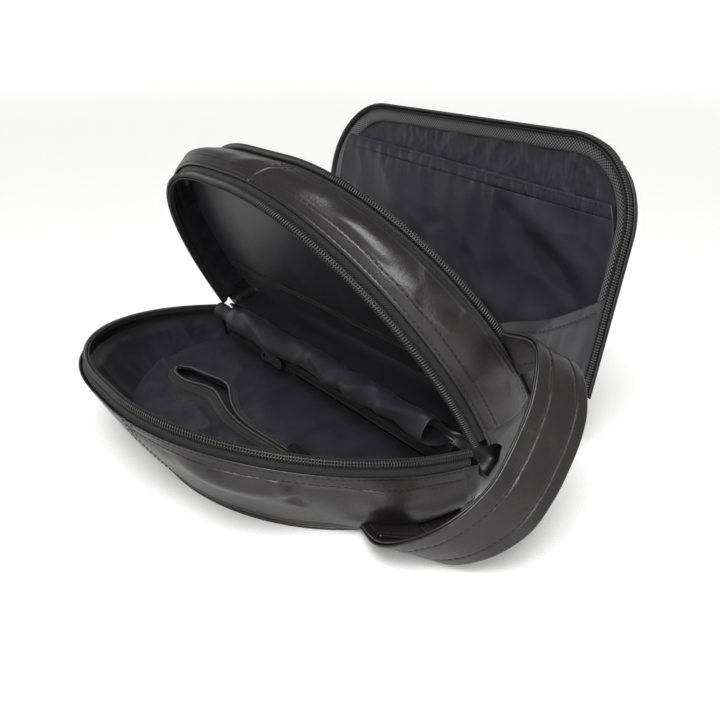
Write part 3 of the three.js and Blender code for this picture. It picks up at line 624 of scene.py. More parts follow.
def settle(piece, body, node=None):
    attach(piece, body)
    declare(piece, node)
    return piece


def bend_between(piece, start, end):
    """Hides the CAD node that the piece replaces and bakes its placement into its mesh. Its start and end
    places are not used.
    """
    declare(piece)
    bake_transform(piece)


def leather_sheet(body, name, place, thickness=LEATHER):
    settle(cloth_sheet(name, place, thickness, leather), body)


def tape_sheet(body, name, place):
    settle(cloth_sheet(name, place, WEBBING, tape), body)


def lining_sheet(body, name, place, held, *rests_on, node=None):
    settle(cloth_sheet(name, place, CLOTH, lining), body, node=node)


# Walls of leather

def hem_relief(x, y, line=HEM_FOLD):
    """A turned edge: thicker up to its second seam, and sunk where the thread pulls."""
    fold = 0.4 * (1 - smooth((y - line - 0.3) / 1.2))
    seams = groove(y - HEM_STITCH, 0.45, 0.25) + groove(y - line, 0.6, 0.45)
    slack = 0.2 * (crumple(x, y * 0.5, 12, 5, 3) - 0.4) * inside_edges(y, HEM_STITCH, line + 3, 2)
    return fold + seams + slack


# Folds and swellings of the leather, by distance along the mouth from the hinge and down from its edge
WALL_FOLDS = [
    ((98, 2), (93, 17), 3.2, 1.5),
    ((87, 4), (92, 22), 4.5, -2.6),
    ((70, 6), (62, 26), 8.0, -1.4),
    ((150, 8), (140, 30), 7.0, -0.8),
    ((206, 6), (196, 34), 8.0, -0.9),
]
WALL_MOUNDS = [
    ((26, 11), (9, 8), -0.9),
    ((172, 12), (20, 9), 1.0),
]
WALL_PUFFS = [
    ((121, 16), (30, 10), 7.5),
    ((47, 13), (14, 9), 5.0),
]
# The wall's foot spreads out over the strap's ends, up to a distance along the mouth
FOOT_OVERHANG = 8.0
FOOT_SPREAD = 46.0
FOOT_SPREAD_FADE = 40.0


def seam_groove(x):
    return groove(x - SEAM_SHARE * mouth_arch.length, 0.7, 0.5)


def puffed(x, y, puffs):
    """Leather that balloons out straight below its hem, so that the hem there faces up."""
    return smooth((y + 1) / 9) * sum(mound(x, y, *each) for each in puffs)


def wall_relief(share, v):
    """How the front wall's leather stands out from its smooth loft."""
    length = wall_length(front_wall, share)
    x, y = share * mouth_arch.length, v * length
    soft = 0.6 * ripple(x, y * 1.4, 75, 3) + 0.15 * ripple(x, y, 30, 8)
    soft = soft + shaped(x, y, WALL_FOLDS, WALL_MOUNDS)
    loose = inside_edges(y, HEM_FOLD - 2, length + 3, 6) * soft
    over_strap = FOOT_OVERHANG * (1 - smooth((x - FOOT_SPREAD) / FOOT_SPREAD_FADE)) * smooth(v / 0.8)
    over_strap = over_strap * (1 - 0.35 * smooth((v - 0.86) / 0.14))
    piping = groove(length - y - 3.5, 0.5, 0.4) + 0.5 * smooth((y - length + 3) / 1.5)
    return hem_relief(x, y) + loose + puffed(x, y, WALL_PUFFS) + over_strap + piping + seam_groove(x)


def seam_lines(wall, relief, distances_from_edge, sides=(-3.6, 3.6)):
    """Paths for the rows of stitches: along the hems, and on both sides of the cross seam."""
    lines = []

    def line(share, v):
        depth = LEATHER_OUTER + relief(share, v)
        return lambda lift: wall(share, v, depth + lift)

    near = (WALL_END_SHARE + 0.004, SEAM_SHARE - 0.002)
    far = (SEAM_SHARE + 0.002, 0.996 - WALL_END_SHARE)
    for distance in distances_from_edge:
        for s0, s1 in (near, far):
            share = np.linspace(s0, s1, 500)
            v = distance / wall_length(wall, share)
            lines.append(line(share, np.where(v < 0, 1 + v, v)))
    for side in sides:
        v = np.linspace(0.03, 0.97, 80)
        lines.append(line(np.full_like(v, SEAM_SHARE + side / mouth_arch.length), v))
    return lines


def build_wall(name, wall, relief, body, edges):
    """The leather of a section, in two lengths that meet at the cross seam, and its stitches."""
    gap = SEAT / MOUTH_WIDTH
    spans = (("near", WALL_END_SHARE, SEAM_SHARE - gap, 240),
             ("far", SEAM_SHARE + gap, 1 - WALL_END_SHARE, 280))
    for word, s0, s1, columns in spans:
        u, v = shares(columns, 64)
        v = np.interp(v, (0, 0.45, 0.84, 1), (0, 9 / HINGE_HEIGHT, 0.84, 1))
        share = s0 + (s1 - s0) * u
        depth = LEATHER_OUTER + relief(share, v)
        leather_sheet(body, f"{name}_{word}", lambda lift: wall(share, v, depth + lift))
    stitches(f"{name}_stitches", seam_lines(wall, relief, edges), body)


def build_front_wall():
    build_wall("Front_wall", front_wall, wall_relief, "front_shell", (HEM_STITCH, HEM_FOLD))


BAND_FOLDS = [
    ((74, 1), (60, 9), 3.6, 1.3),
    ((80, 9), (66, 20), 5.0, -1.3),
    ((100, 4), (90, 18), 5.0, -0.9),
    ((140, 4), (128, 20), 7.0, -0.9),
    ((196, 2), (186, 20), 7.0, 0.7),
    ((30, 6), (24, 20), 6.0, -0.7),
]
BAND_MOUNDS = [
    ((116, 12), (22, 8), 1.5),
    ((252, 10), (26, 8), 1.4),
    ((296, 12), (13, 8), -4.4),
]


def band_relief(share, v):
    """How the middle band's leather stands out from its smooth loft."""
    length = wall_length(band_wall, share)
    x, y = share * mouth_arch.length, v * length
    soft = 0.5 * ripple(x, y * 1.2, 70, 51) + 0.12 * ripple(x, y, 30, 52)
    soft = soft + shaped(x, y, BAND_FOLDS, BAND_MOUNDS)
    loose = inside_edges(y, HEM_FOLD - 2, length + 2, 6) * soft
    rear_hem = 0.3 * (1 - smooth((length - y - 3) / 1.2)) + groove(length - y - HEM_STITCH, 0.45, 0.25)
    return hem_relief(x, y) + loose + rear_hem + seam_groove(x)


def build_band():
    build_wall("Middle_band", band_wall, band_relief, "middle_section", (HEM_STITCH, HEM_FOLD, -HEM_STITCH))


def base_outline(arch_at, half):
    """The base strip's line: from the wall's end round under the hinge, and up to the other wall's end."""
    rise = WALL_END_SHARE * mouth_arch.length

    def at(share, out=0.0):
        share, out = np.broadcast_arrays(np.asarray(share, float), out)
        side = 0.06
        y, h = arch_at((share - side) / (1 - 2 * side), out)
        above = np.maximum(0, side - np.minimum(share, 1 - share)) / side * (rise - SEAT)
        edge = np.where(share < 0.5, -1.0, 1.0) * (half + out)
        on_side = above > 0
        return np.where(on_side, edge, y), np.where(on_side, above - SEAT, h)

    return at


def base_strip(name, start, start_depth, end, end_depth, body, spread=0.0):
    surface = loft(start, start_depth, end, end_depth, 0)
    u, v = shares(320, 26)
    width = np.linalg.norm(surface(0.5, 1.0) - surface(0.5, 0.0))
    x, y = u * (MOUTH_WIDTH + 2 * BASE_DROP), v * width
    soft = inside_edges(y, 0, width, 5) * (0.7 * ripple(x, y, 34, 21) + 0.5 * crumple(x, y, 14, 22))
    edge = np.minimum(y, width - y)

    def spread_at(u, v):
        return spread * (1 - smooth(np.minimum(u, 1 - u) / 0.22)) * smooth(v / 0.8)

    depth = LEATHER_OUTER + soft + groove(edge - HEM_STITCH, 0.45, 0.3) + groove(edge - HEM_FOLD, 0.6, 0.3)
    depth = depth + spread_at(u, v)
    leather_sheet(body, name, lambda lift: surface(u, v, depth + lift))
    lines = []
    for distance in (HEM_STITCH, width - HEM_STITCH):
        along = np.linspace(0.004, 0.996, 500)
        at_share = distance / width
        depth_at = LEATHER_OUTER + spread_at(along, at_share)
        lines.append(lambda lift, v=at_share, depth=depth_at: surface(along, v, depth + lift))
    stitches(f"{name}_stitches", lines, body)


def build_bases():
    strip = base_outline(base_arch, MOUTH_WIDTH / 2)
    low_strip = base_outline(panel_base_arch, PANEL_WIDTH / 2 - LEATHER_OUTER)
    base_strip("Base_strip_front", placed(front_mouth, strip), LEATHER_EDGE, placed(table, low_strip),
               WALL_FOOT, "front_shell", FOOT_OVERHANG)
    base_strip("Base_strip_middle", placed(middle_mouth, strip), LEATHER_EDGE, placed(rear_mouth, strip),
               LEATHER_EDGE, "middle_section")


# Zips

def zip_coil(name, mouth, outline, body):
    """A coil of nylon wire, sewn to its tape's edge over a cord."""
    def place(share, aside, deep):
        return mouth(*outline(share, aside), COIL_MIDDLE + deep)

    wire = coil_turns(place, outline.length, COIL_PITCH, (COIL_WIDTH - COIL_WIRE) / 2, COIL_REACH)
    along = np.linspace(0, 1, 400)
    cords = [place(along, 0 * along, 0 * along + up) for up in (-0.45 * COIL_REACH, 0.45 * COIL_REACH)]
    settle(tube(name, [wire, *cords], [COIL_WIRE / 2, 0.45, 0.45], 6, coil_nylon), body)


# Across the tape, from its coil to the leather's edge: share of its shown width, how deep and how far out
TAPE_PROFILE_SHARES = (0.0, 0.18, 0.34, 0.46, 0.6, 0.74, 1.0)
TAPE_DEPTHS = (COIL_CLEARANCE, 2.2, 4.1, 4.7, 5.3, 6.4, LEATHER_EDGE)
TAPE_OUTS = (-1.45, -1.45, -1.4, -0.8, 0.2, 0.85, 1.05)
# The coil's loops, as tall across the zip as a closed chain's half looks from outside
COIL_MIDDLE = 2.4
COIL_REACH = 1.65


def zip_tape(name, mouth, outline, wall, hidden, body):
    u, v = shares(320, 22)
    shown = 0.78
    along = v / shown
    depth = np.interp(along, TAPE_PROFILE_SHARES, TAPE_DEPTHS)
    wave = 0.15 * ripple(u * outline.length, v * 9, 30, 11)
    out = np.interp(along, TAPE_PROFILE_SHARES, TAPE_OUTS) + wave
    behind = np.clip((v - shown) / (1 - shown), 0, 1) * hidden

    def place(lift):
        front = mouth(*outline(u, out + lift), depth)
        back = wall(u, behind, out + lift)
        return np.where((v < shown)[..., None], front, back)

    tape_sheet(body, name, place)


def build_zips():
    lower, upper = TAPE_HIDDEN / HINGE_HEIGHT, TAPE_HIDDEN / BAND_LEATHER
    zip_coil("Front_zip_coil_lower", front_mouth, mouth_arch, "front_shell")
    zip_tape("Front_zip_tape_lower", front_mouth, mouth_arch, front_wall, lower, "front_shell")
    zip_coil("Front_zip_coil_upper", middle_mouth, mouth_arch, "middle_section")
    zip_tape("Front_zip_tape_upper", middle_mouth, mouth_arch, band_wall, upper, "middle_section")
    zip_coil("Rear_zip_coil_front", rear_mouth, rear_arch, "middle_section")
    zip_tape("Rear_zip_tape_front", rear_mouth, rear_arch, lambda s, v, out: band_wall(s, 1 - v, out),
             upper, "middle_section")
    zip_coil("Rear_zip_coil_lid", lid_mouth, lid_arch, "rear_lid")


# Inside the front shell

def half_width(outline, h, inset=0.0, low_corner=0.0):
    """Half of an arch's width at a height from the hinge, with rounded corners below the hinge."""
    share = np.linspace(0, 0.5, 400)
    y, high = outline(share, -inset)
    over = np.maximum(0, -h - (BASE_OVERHANG - low_corner))
    corner = low_corner - np.sqrt(np.maximum(0, low_corner ** 2 - over ** 2))
    return np.interp(h, high, -y) - corner


def arch_grid(outline, inset, low, columns, rows, low_corner=0.0):
    """A grid of places that fills an arch: y and height."""
    u, v = shares(columns, rows)
    top = outline(0.5, -inset)[1]
    h = low + (top - 0.02 - low) * np.sin(v * math.pi / 2)
    return (2 * u - 1) * half_width(outline, h, inset, low_corner), h


def build_front_panel():
    y, h = arch_grid(panel_arch, 0, -BASE_OVERHANG, 90, 60, CORNER_RADIUS)
    leather_sheet("front_shell", "Front_panel", lambda lift: table(y, h, -lift), PANEL_LEATHER)


def build_pocket_back():
    y, h = arch_grid(panel_arch, WALL_MARGIN + LEATHER_OUTER, -WALL_MARGIN, 60, 30)
    top = WALL_FOOT + STIFFENER + SEAT + CLOTH
    lining_sheet("front_shell", "Inner_pocket_back",
                 lambda lift: table(y, h, top + lift + 0.1 * ripple(y, h, 30, 5)), "laid", "front_panel")


POCKET_END = POCKET_ZIP_OFFSET + POCKET_ZIP_LENGTH / 2
POCKET_TOP = POCKET_HEIGHT + CLOTH


def pocket_zip_line(y):
    """How far from the hinge the pocket's zip lies: it is drawn out of line."""
    return POCKET_ZIP_FROM_HINGE + 4.0 * np.exp(-((y + 5) / 30) ** 2) - 5.0 * np.exp(-((y - 38) / 17) ** 2)


def pocket_gap(y):
    """Half of the zip's opening, which gapes at its far end."""
    return 1.0 + 5.6 * np.exp(-((y - 60) / 34) ** 2) * smooth((POCKET_END - y) / 7)


def pocket_stand(y):
    """How far the zip's tapes stand up from the pocket's face."""
    return 0.6 + 3.2 * np.exp(-((y - 36) / 28) ** 2) * smooth((POCKET_END - y) / 12)


def pocket_face_gap(y):
    """Half of the gap between the two halves of the pocket's face, which run on under the tapes."""
    beyond = smooth((np.abs(y - POCKET_ZIP_OFFSET) - POCKET_ZIP_LENGTH / 2) / 4)
    return (pocket_gap(y) + 2.5) * (1 - beyond) + SEAT / 2 * beyond


def pocket_rim():
    """Where the pocket's face meets the wall's lining, as y and distance from the hinge."""
    share = np.linspace(0, 1, 400)
    top = front_wall(share, 0 * share, 0)[..., 2]
    p = front_wall(share, (top - POCKET_HEIGHT) / (top - WALL_FOOT), LINING_INNER - 2 * SEAT)
    return p[..., 1], HINGE[0] - p[..., 0]


FACE_FOLDS = [
    ((-60, 40), (-30, 10), 5, 1.2),
    ((-10, 44), (26, 22), 6, 1.0),
    ((40, 40), (66, 16), 5, 1.1),
    ((70, 42), (96, 20), 4, 1.2),
]


def build_pocket_face():
    rim_y, rim_h = pocket_rim()
    count = len(rim_y) // 2
    u, v = shares(220, 60)
    level = -WALL_MARGIN + v * (POCKET_ZIP_FROM_HINGE + WALL_MARGIN)
    half = np.interp(level, rim_h[:count], -rim_y[:count])
    y = (2 * u - 1) * half
    h = -WALL_MARGIN + (pocket_zip_line(y) - pocket_face_gap(y) + WALL_MARGIN) * v
    edge = half - np.abs(y)
    sag = 0.9 * ripple(y, h, 62, 33) + 0.9 * crumple(y, h, 34, 34) + shaped(y, h, FACE_FOLDS)
    lift_1 = smooth(edge / 12) * smooth(v * 6) * sag * smooth((1 - v) * 5 + 0.3)
    lining_sheet("front_shell", "Pocket_face_hinge_side",
                 lambda lift: table(y, h, POCKET_TOP + lift_1 + lift), "laid", "inner_pocket_back",
                 node="inner_pocket_face_hinge_side")

    u, v = shares(240, 90)
    y2 = (2 * u - 1) * (np.interp(POCKET_ZIP_FROM_HINGE + 3, rim_h[:count], -rim_y[:count]) - 0.5)
    low = pocket_zip_line(y2) + pocket_face_gap(y2)
    high = np.interp(y2, rim_y, rim_h)
    h2 = low + np.maximum(high - low, 1.0) * v
    edge = inside_edges(v, 0, 1, 0.16)
    sag = 1.4 + 4.2 * (crumple(y2 * 0.6, h2 * 1.3, 22, 61) - 0.3) + 0.9 * crumple(y2, h2, 13, 62)
    lift_2 = edge * sag * smooth(v * 4)
    lining_sheet("front_shell", "Pocket_face_arch_side",
                 lambda lift: table(y2, h2, POCKET_TOP + lift_2 + lift), "gathered", "inner_pocket_back",
                 node="inner_pocket_face_arch_side")


def build_pocket_zip():
    along = np.linspace(0, 1, 200)
    for side, word in ((-1, "hinge_side"), (1, "arch_side")):
        def beside(share, away, z):
            """A spot beside the zip's line, by its share of the zip's length."""
            y = POCKET_ZIP_OFFSET + POCKET_ZIP_LENGTH * (share - 0.5)
            return table(y, pocket_zip_line(y) + side * (pocket_gap(y) + away), POCKET_TOP + z(y))

        u, v = shares(160, 14)
        roll = 0.8 * np.sin(math.pi * v)
        tape_sheet("front_shell", f"Pocket_zip_tape_{word}",
                   lambda lift: beside(u, 0.3 + v * POCKET_TAPE,
                                       lambda y: 1.0 + pocket_stand(y) * (1 - smooth(v)) + roll + lift))

        def coil_place(share, aside, up):
            return beside(share, 0.4 + side * aside, lambda y: 1.6 + pocket_stand(y) + up)

        ways = [coil_turns(coil_place, POCKET_ZIP_LENGTH, POCKET_PITCH, 0.95, 0.5, 10),
                coil_place(along, 0 * along, 0 * along)]
        settle(tube(f"Pocket_zip_coil_{word}", ways, [0.32, 0.4], 5, coil_nylon), "front_shell")
        row = [lambda lift: beside(along, POCKET_TAPE - 1.2, lambda y: 1.7 + lift)]
        stitches(f"Pocket_zip_stitches_{word}", row, "front_shell")


# How far above the hinge the base linings lie, behind the base strips
BASE_LINING = -BASE_OVERHANG + LEATHER + SEAT + CLOTH


def build_front_lining():
    u, v = shares(360, 44)
    v0, v1 = TAPE_HIDDEN / HINGE_HEIGHT / 2, 1 - WALL_MARGIN / HINGE_HEIGHT
    w = v0 + (v1 - v0) * v
    x, y = u * mouth_arch.length, w * 32
    fade = inside_edges(v, 0, 1, 0.2)
    slack = 0.5 + 0.8 * ripple(x, y * 0.6, 28, 41) + 2.4 * crumple(x, y * 0.5, 17, 42)
    out = LINING_OUTER - fade * np.maximum(slack, 0)
    lining_sheet("front_shell", "Front_wall_lining", lambda lift: front_wall(u, w, out - lift - CLOTH),
                 "hung", "front_zip_tape_lower")
    half = PANEL_WIDTH / 2 - CORNER_RADIUS - WALL_MARGIN
    u, v = shares(160, 12)
    depth = LEATHER_EDGE + (HINGE_HEIGHT - POCKET_HEIGHT - WALL_MARGIN - LEATHER_EDGE) * v
    lining_sheet("front_shell", "Front_base_lining",
                 lambda lift: front_mouth(half * (2 * u - 1), BASE_LINING + lift + 0 * u, depth), "hung",
                 "base_strip_front")


# Middle section

def build_middle_inside():
    u, v = shares(300, 30)
    hidden = TAPE_HIDDEN / BAND_LEATHER / 2
    w = hidden + (1 - 2 * hidden) * v
    x = u * mouth_arch.length
    front_part = inside_edges(w, 0, PARTITION_SHARE, 0.12)
    slack = 0.15 + front_part * 1.6 * crumple(x, w * 16, 18, 63)
    out = LINING_OUTER - inside_edges(v, 0, 1, 0.15) * slack
    lining_sheet("middle_section", "Middle_band_lining", lambda lift: band_wall(u, w, out - lift - CLOTH),
                 "hung", "front_zip_tape_upper")
    partition("Partition_lining_front", PARTITION_FROM_MOUTH, -1)
    partition("Partition_lining_rear", PARTITION_FROM_MOUTH + CLOTH + SEAT + BOARD + SEAT + CLOTH, 1)
    half = MOUTH_WIDTH / 2 - CORNER_RADIUS
    u, v = shares(120, 16)
    y = half * (2 * u - 1)

    def place(lift):
        start = middle_mouth(y, BASE_LINING + lift, LEATHER_EDGE)
        return start + (rear_mouth(y, BASE_LINING + lift, LEATHER_EDGE) - start) * v[..., None]

    lining_sheet("middle_section", "Middle_base_lining", place, "hung", "base_strip_middle")


def partition_place(depth, u, v):
    """A sheet across the band at one depth from the mouth: u across it, v from the hinge to the arch."""
    share = np.linspace(0, 0.5, 300)
    w = (depth - LEATHER_EDGE) / BAND_LEATHER
    near = band_wall(share, w, LINING_INNER - SEAT)
    far = band_wall(1 - share, w, LINING_INNER - SEAT)
    run = np.sin(v * math.pi / 2)
    run_at = np.linspace(0, 1, 300)
    low = np.stack([np.interp(run, run_at, near[:, i]) for i in range(3)], -1)
    high = np.stack([np.interp(run, run_at, far[:, i]) for i in range(3)], -1)
    return low + (high - low) * u[..., None]


def partition(name, depth, side):
    """One cover of the partition's board, shown towards the given side."""
    u, v = shares(140, 80)
    flat = partition_place(depth, u, v)
    y, z = flat[..., 1], flat[..., 2]
    fade = inside_edges(u, 0, 1, 0.08) * smooth((1 - v) * 8)
    out = side * fade * (0.25 + 0.3 * ripple(y, z, 55, 71) + 0.5 * crumple(y, z, 40, 72))
    inward = across(MIDDLE_LEAN)
    lining_sheet("middle_section", name, lambda lift: flat + inward * (out + side * lift)[..., None],
                 "stretched", "partition_board")


# Textured binding tapes over the raw edges of the linings, at both sides of the hinge

def build_binding_tapes():
    u, v = shares(160, 6)
    y = BINDING_LENGTH * (u - 0.5)
    front_depth = HINGE_HEIGHT - POCKET_HEIGHT - BINDING_ABOVE_POCKET
    behind = -BASE_OVERHANG + LEATHER + 2 * SEAT + 3 * CLOTH
    slack = 0.5 * ripple(y, 0 * y, 40, 75)
    depth = front_depth + BINDING_WIDTH * (v - 0.5) + slack
    tape_sheet("front_shell", "Front_binding_tape", lambda lift: front_mouth(y, behind + 0.5 + lift, depth))
    depth = PARTITION_FROM_MOUTH - 1.2
    foot = partition_place(depth, u, np.full_like(v, 0.06))
    above = partition_place(depth, u, np.full_like(v, 0.1))
    climb = above - foot
    climb = climb / np.linalg.norm(climb, axis=-1, keepdims=True)
    inward = across(MIDDLE_LEAN)
    up = climb * (BINDING_WIDTH * v + 0.6 * slack)[..., None]
    tape_sheet("middle_section", "Partition_binding_tape", lambda lift: foot + up - inward * lift)


# Lid

def build_lid_shell():
    u, v = shares(320, 18)
    shown = 0.62
    along = np.minimum(v / shown, 1)
    depth = np.interp(along, TAPE_PROFILE_SHARES, TAPE_DEPTHS)
    hidden = LEATHER_EDGE + (LID_LINING - SEAT - LEATHER_EDGE) * (v - shown) / (1 - shown)
    depth = np.minimum(np.where(v > shown, hidden, depth), LID_LINING - SEAT)
    out = np.interp(along, TAPE_PROFILE_SHARES, TAPE_OUTS)
    tape_sheet("rear_lid", "Rear_zip_tape_lid", lambda lift: lid_place(u, out + lift, depth))
    u, v = shares(320, 16)
    x = u * lid_arch.length
    rim_depth = LID_EDGE + (LID_BACK - SEAT - LID_EDGE) * v
    seam_sunk = groove(v * LID_RIM_WIDTH - HEM_STITCH, 0.45, 0.3)
    puff = 0.7 * np.sin(math.pi * v) + 0.3 * ripple(x, v * 8, 45, 83) + seam_sunk
    leather_sheet("rear_lid", "Lid_rim", lambda lift: lid_place(u, LEATHER_OUTER + puff + lift, rim_depth))
    share = np.linspace(0.004, 0.996, 900)
    seam_depth = LID_EDGE + (LID_BACK - SEAT - LID_EDGE) * HEM_STITCH / LID_RIM_WIDTH
    row = [lambda lift: lid_place(share, LEATHER_OUTER + 0.3 + lift, seam_depth)]
    stitches("Lid_rim_stitches", row, "rear_lid")
    y, h = arch_grid(lid_arch, -LEATHER_OUTER + LID_TAPER, -WALL_MARGIN, 140, 80)
    edge = smooth(np.minimum(np.abs(y).max() - np.abs(y), LID_HEIGHT - h) / 10)
    back = LID_DEPTH + edge * (0.7 + 0.5 * ripple(y, h, 75, 81) + 0.2 * ripple(y, h, 24, 82))
    leather_sheet("rear_lid", "Lid_panel", lambda lift: lid_mouth(y, h, back + lift))
    build_lid_lining()


def build_lid_lining():
    y, h = arch_grid(lid_arch, -TAPE_OUTER + 1, -WALL_MARGIN, 260, 150)
    top = slip_top(y)
    gather = smooth((h - top - HEM_HEIGHT + 4) / 5) * (1 - smooth((h - LID_HEIGHT + 9) / 6))
    gather = gather * smooth((MOUTH_WIDTH / 2 - 6 - np.abs(y)) / 10)
    folds = 0.8 + 1.2 * ripple(y, h * 0.6, 30, 91) + 3.0 * (crumple(y * 1.2, h * 0.9, 22, 92) - 0.2)
    folds = folds + 1.2 * crumple(y, h, 9, 93)
    depth = LID_LINING - gather * np.maximum(folds, 0)
    lining_sheet("rear_lid", "Lid_lining", lambda lift: lid_mouth(y, h, depth - lift), "gathered",
                 "lid_board")


def ring_piece(name, face, material):
    """A closed roll: the grid's rows go right round it, and its ends are capped."""
    points = face[:, :-1].reshape(-1, 3)
    run = np.arange(len(points)).reshape(len(face), -1)
    turned = np.roll(run, -1, axis=1)
    faces = np.stack([run[:-1], run[1:], turned[1:], turned[:-1]], -1).reshape(-1, 4).tolist()
    faces.append(run[0].tolist())
    faces.append(run[-1][::-1].tolist())
    x, girth = distances(face)
    round_it = np.minimum(girth[:-1], girth[-1] - girth[:-1])
    uv = np.stack(np.meshgrid(x, round_it, indexing="ij"), -1).reshape(-1, 2)
    return new_piece(name, points, faces, material, uv)


def build_lid_roll():
    out = TAPE_OUTER - WEBBING - SEAT - ROLL_WIDTH / 2
    depth = LID_TAPE_DEPTH + ROLL_HEIGHT / 2
    u, v = shares(500, 24)
    turn = 2 * math.pi * v
    lump = 1 + 0.04 * ripple(u * lid_arch.length, v * 20, 25, 95)
    side, high = ROLL_WIDTH / 2 * lump, (ROLL_HEIGHT / 2 + 0.4) * lump
    face = lid_place(u, out + side * np.cos(turn), depth + high * np.sin(turn))
    settle(ring_piece("Lid_mesh_roll", face, mesh_net), "rear_lid")


def slip_top(y):
    """The slip pocket's mouth slants a little, lower at the near side."""
    return LID_HEIGHT - SLIP_FROM_TOP - 1.0 + SLIP_SLANT * y / (MOUTH_WIDTH / 2)


def slip_place(u, v, lift):
    """The slip pocket's face, v from its foot to its mouth and on over the hem."""
    inset = ROLL_WIDTH + SEAT - (TAPE_OUTER - WEBBING - SEAT)
    level = SLIP_BOTTOM + (LID_HEIGHT - SLIP_FROM_TOP - SLIP_BOTTOM) * v
    over = np.maximum(0, level - LID_HEIGHT + LID_RADIUS)
    half = MOUTH_WIDTH / 2 - LID_RADIUS + np.sqrt((LID_RADIUS - inset) ** 2 - over ** 2)
    y = half * (2 * u - 1)
    h = SLIP_BOTTOM + (slip_top(y) - SLIP_BOTTOM) * v
    depth = LID_LINING - SEAT - CLOTH - (SLIP_GAP - SEAT) * np.minimum(v, 1)
    return lid_mouth(y, h, depth - lift), y, h


# The cloth's folds, by distance from the lid's middle and height above its foot
SLIP_FOLDS = [
    ((-44, 82), (-108, 44), 7.0, -1.6),
    ((-38, 92), (-106, 58), 9.0, 2.6),
    ((-12, 86), (-20, 52), 7.0, 1.2),
    ((22, 90), (10, 60), 8.0, -1.0),
    ((60, 92), (40, 50), 12.0, 1.4),
    ((-100, 24), (-30, 30), 9.0, 1.6),
]


def slip_relief(y, h, side, below):
    gathers = ripple(y * 1.3, h * 0.3, 11, 101) + 0.6 * ripple(y, h * 0.2, 5.5, 104)
    gathers = 0.6 * np.exp(-below / 6) * gathers
    soft = 1.4 + 1.3 * ripple(y, h, 58, 102) + 2.4 * (crumple(y, h, 42, 103) - 0.3)
    return side * np.maximum(soft + gathers + shaped(y, h, SLIP_FOLDS), 0)


def build_slip_pocket():
    u, v = shares(260, 120)
    y, h = slip_place(u, v, 0)[1:]
    side = inside_edges(u, 0, 1, 0.1)
    relief = slip_relief(y, h, side, slip_top(y) - h)
    pocket = cloth_sheet("Slip_pocket", lambda lift: slip_place(u, v, relief + lift)[0], CLOTH, lining)
    settle(pocket, "rear_lid")
    rise = HEM_HEIGHT / (LID_HEIGHT - SLIP_FROM_TOP - SLIP_BOTTOM)
    u2, v2 = shares(260, 12)
    v2 = 1 + SEAT / 90 + rise * v2
    y2, h2 = slip_place(u2, v2, 0)[1:]

    def hem_lift(u, y, h, share):
        gathers = 0.9 * (ripple(y * 1.3, h * 0.3, 11, 101) + 0.5 * ripple(y, h * 0.2, 5.5, 104))
        return inside_edges(u, 0, 1, 0.1) * (0.6 + gathers) + 0.4 * np.sin(math.pi * share)

    lift_2 = hem_lift(u2, y2, h2, (v2 - 1) / rise)
    hem = cloth_sheet("Slip_pocket_hem", lambda lift: slip_place(u2, v2, lift_2 + lift)[0], 2 * CLOTH,
                      lining)
    settle(hem, "rear_lid")
    lines = []
    for share in (0.14, 0.86):
        along = np.linspace(0.02, 0.98, 400)
        v3 = np.full_like(along, 1 + rise * share)
        y3, h3 = slip_place(along, v3, 0)[1:]
        base = hem_lift(along, y3, h3, share)
        lines.append(lambda lift, along=along, v3=v3, base=base: slip_place(along, v3, base + lift)[0])
    stitches("Slip_pocket_stitches", lines, "rear_lid")


def build_lid_foot():
    half = MOUTH_WIDTH / 2 + LEATHER_OUTER - LID_TAPER
    u, v = shares(120, 8)
    y = half * (2 * u - 1)
    depth = LID_LINING + (LID_DEPTH - LID_LINING) * v
    leather_sheet("rear_lid", "Lid_foot_binding",
                  lambda lift: lid_mouth(y, -WALL_MARGIN - SEAT - lift, depth))


def smooth_route(points, u):
    """A centripetal curve through the given places, evenly shared out between them."""
    ends = np.vstack([2 * points[0] - points[1], points, 2 * points[-1] - points[-2]])
    steps = np.maximum(np.linalg.norm(np.diff(ends, axis=0), axis=1), 1e-6)
    knots = np.concatenate([[0], np.cumsum(np.sqrt(steps))])
    step = np.clip(u, 0, 1) * (len(points) - 1)
    first = np.clip(np.floor(step).astype(int), 0, len(points) - 2)
    p = [ends[first + k] for k in range(4)]
    t = [knots[first + k][..., None] for k in range(4)]
    at = t[1] + (step - first)[..., None] * (t[2] - t[1])
    # Each round blends neighbours: over one span of knots, then over two, and last over the middle one
    for spans in ((1, 1, 1), (2, 2), (1,)):
        low = [1] if len(spans) == 1 else range(len(spans))
        p = [(t[k + n] - at) / (t[k + n] - t[k]) * p[i] + (at - t[k]) / (t[k + n] - t[k]) * p[i + 1]
             for i, (k, n) in enumerate(zip(low, spans))]
    return p[0]


# Pieces that cross the joints


def side_gusset_place(side, u, v, hem, lift):
    """A sheet hung between the two mouths: u from the partition's side to the lid's, v up from the base."""
    y = side * (MOUTH_WIDTH / 2 + LINING_INNER - SEAT)
    start = rear_mouth(y, SIDE_GUSSET_HEIGHT * v, COIL_CLEARANCE - SEAT)
    end = lid_mouth(y, SIDE_GUSSET_HEIGHT * v, COIL_CLEARANCE - SEAT)
    face = start + (end - start) * u[..., None]
    fade = inside_edges(u, 0, 1, 0.18)
    folds = 2.2 * ripple(u * 50, v * 50, 30, 111) + 2.6 * (crumple(u * 50, v * 40, 20, 112) - 0.4)
    face[..., 1] += side * (fade * folds + hem * fade + lift)
    face[..., 2] -= 3.0 * np.sin(math.pi * u) * smooth(v * 2 - 1)
    return face


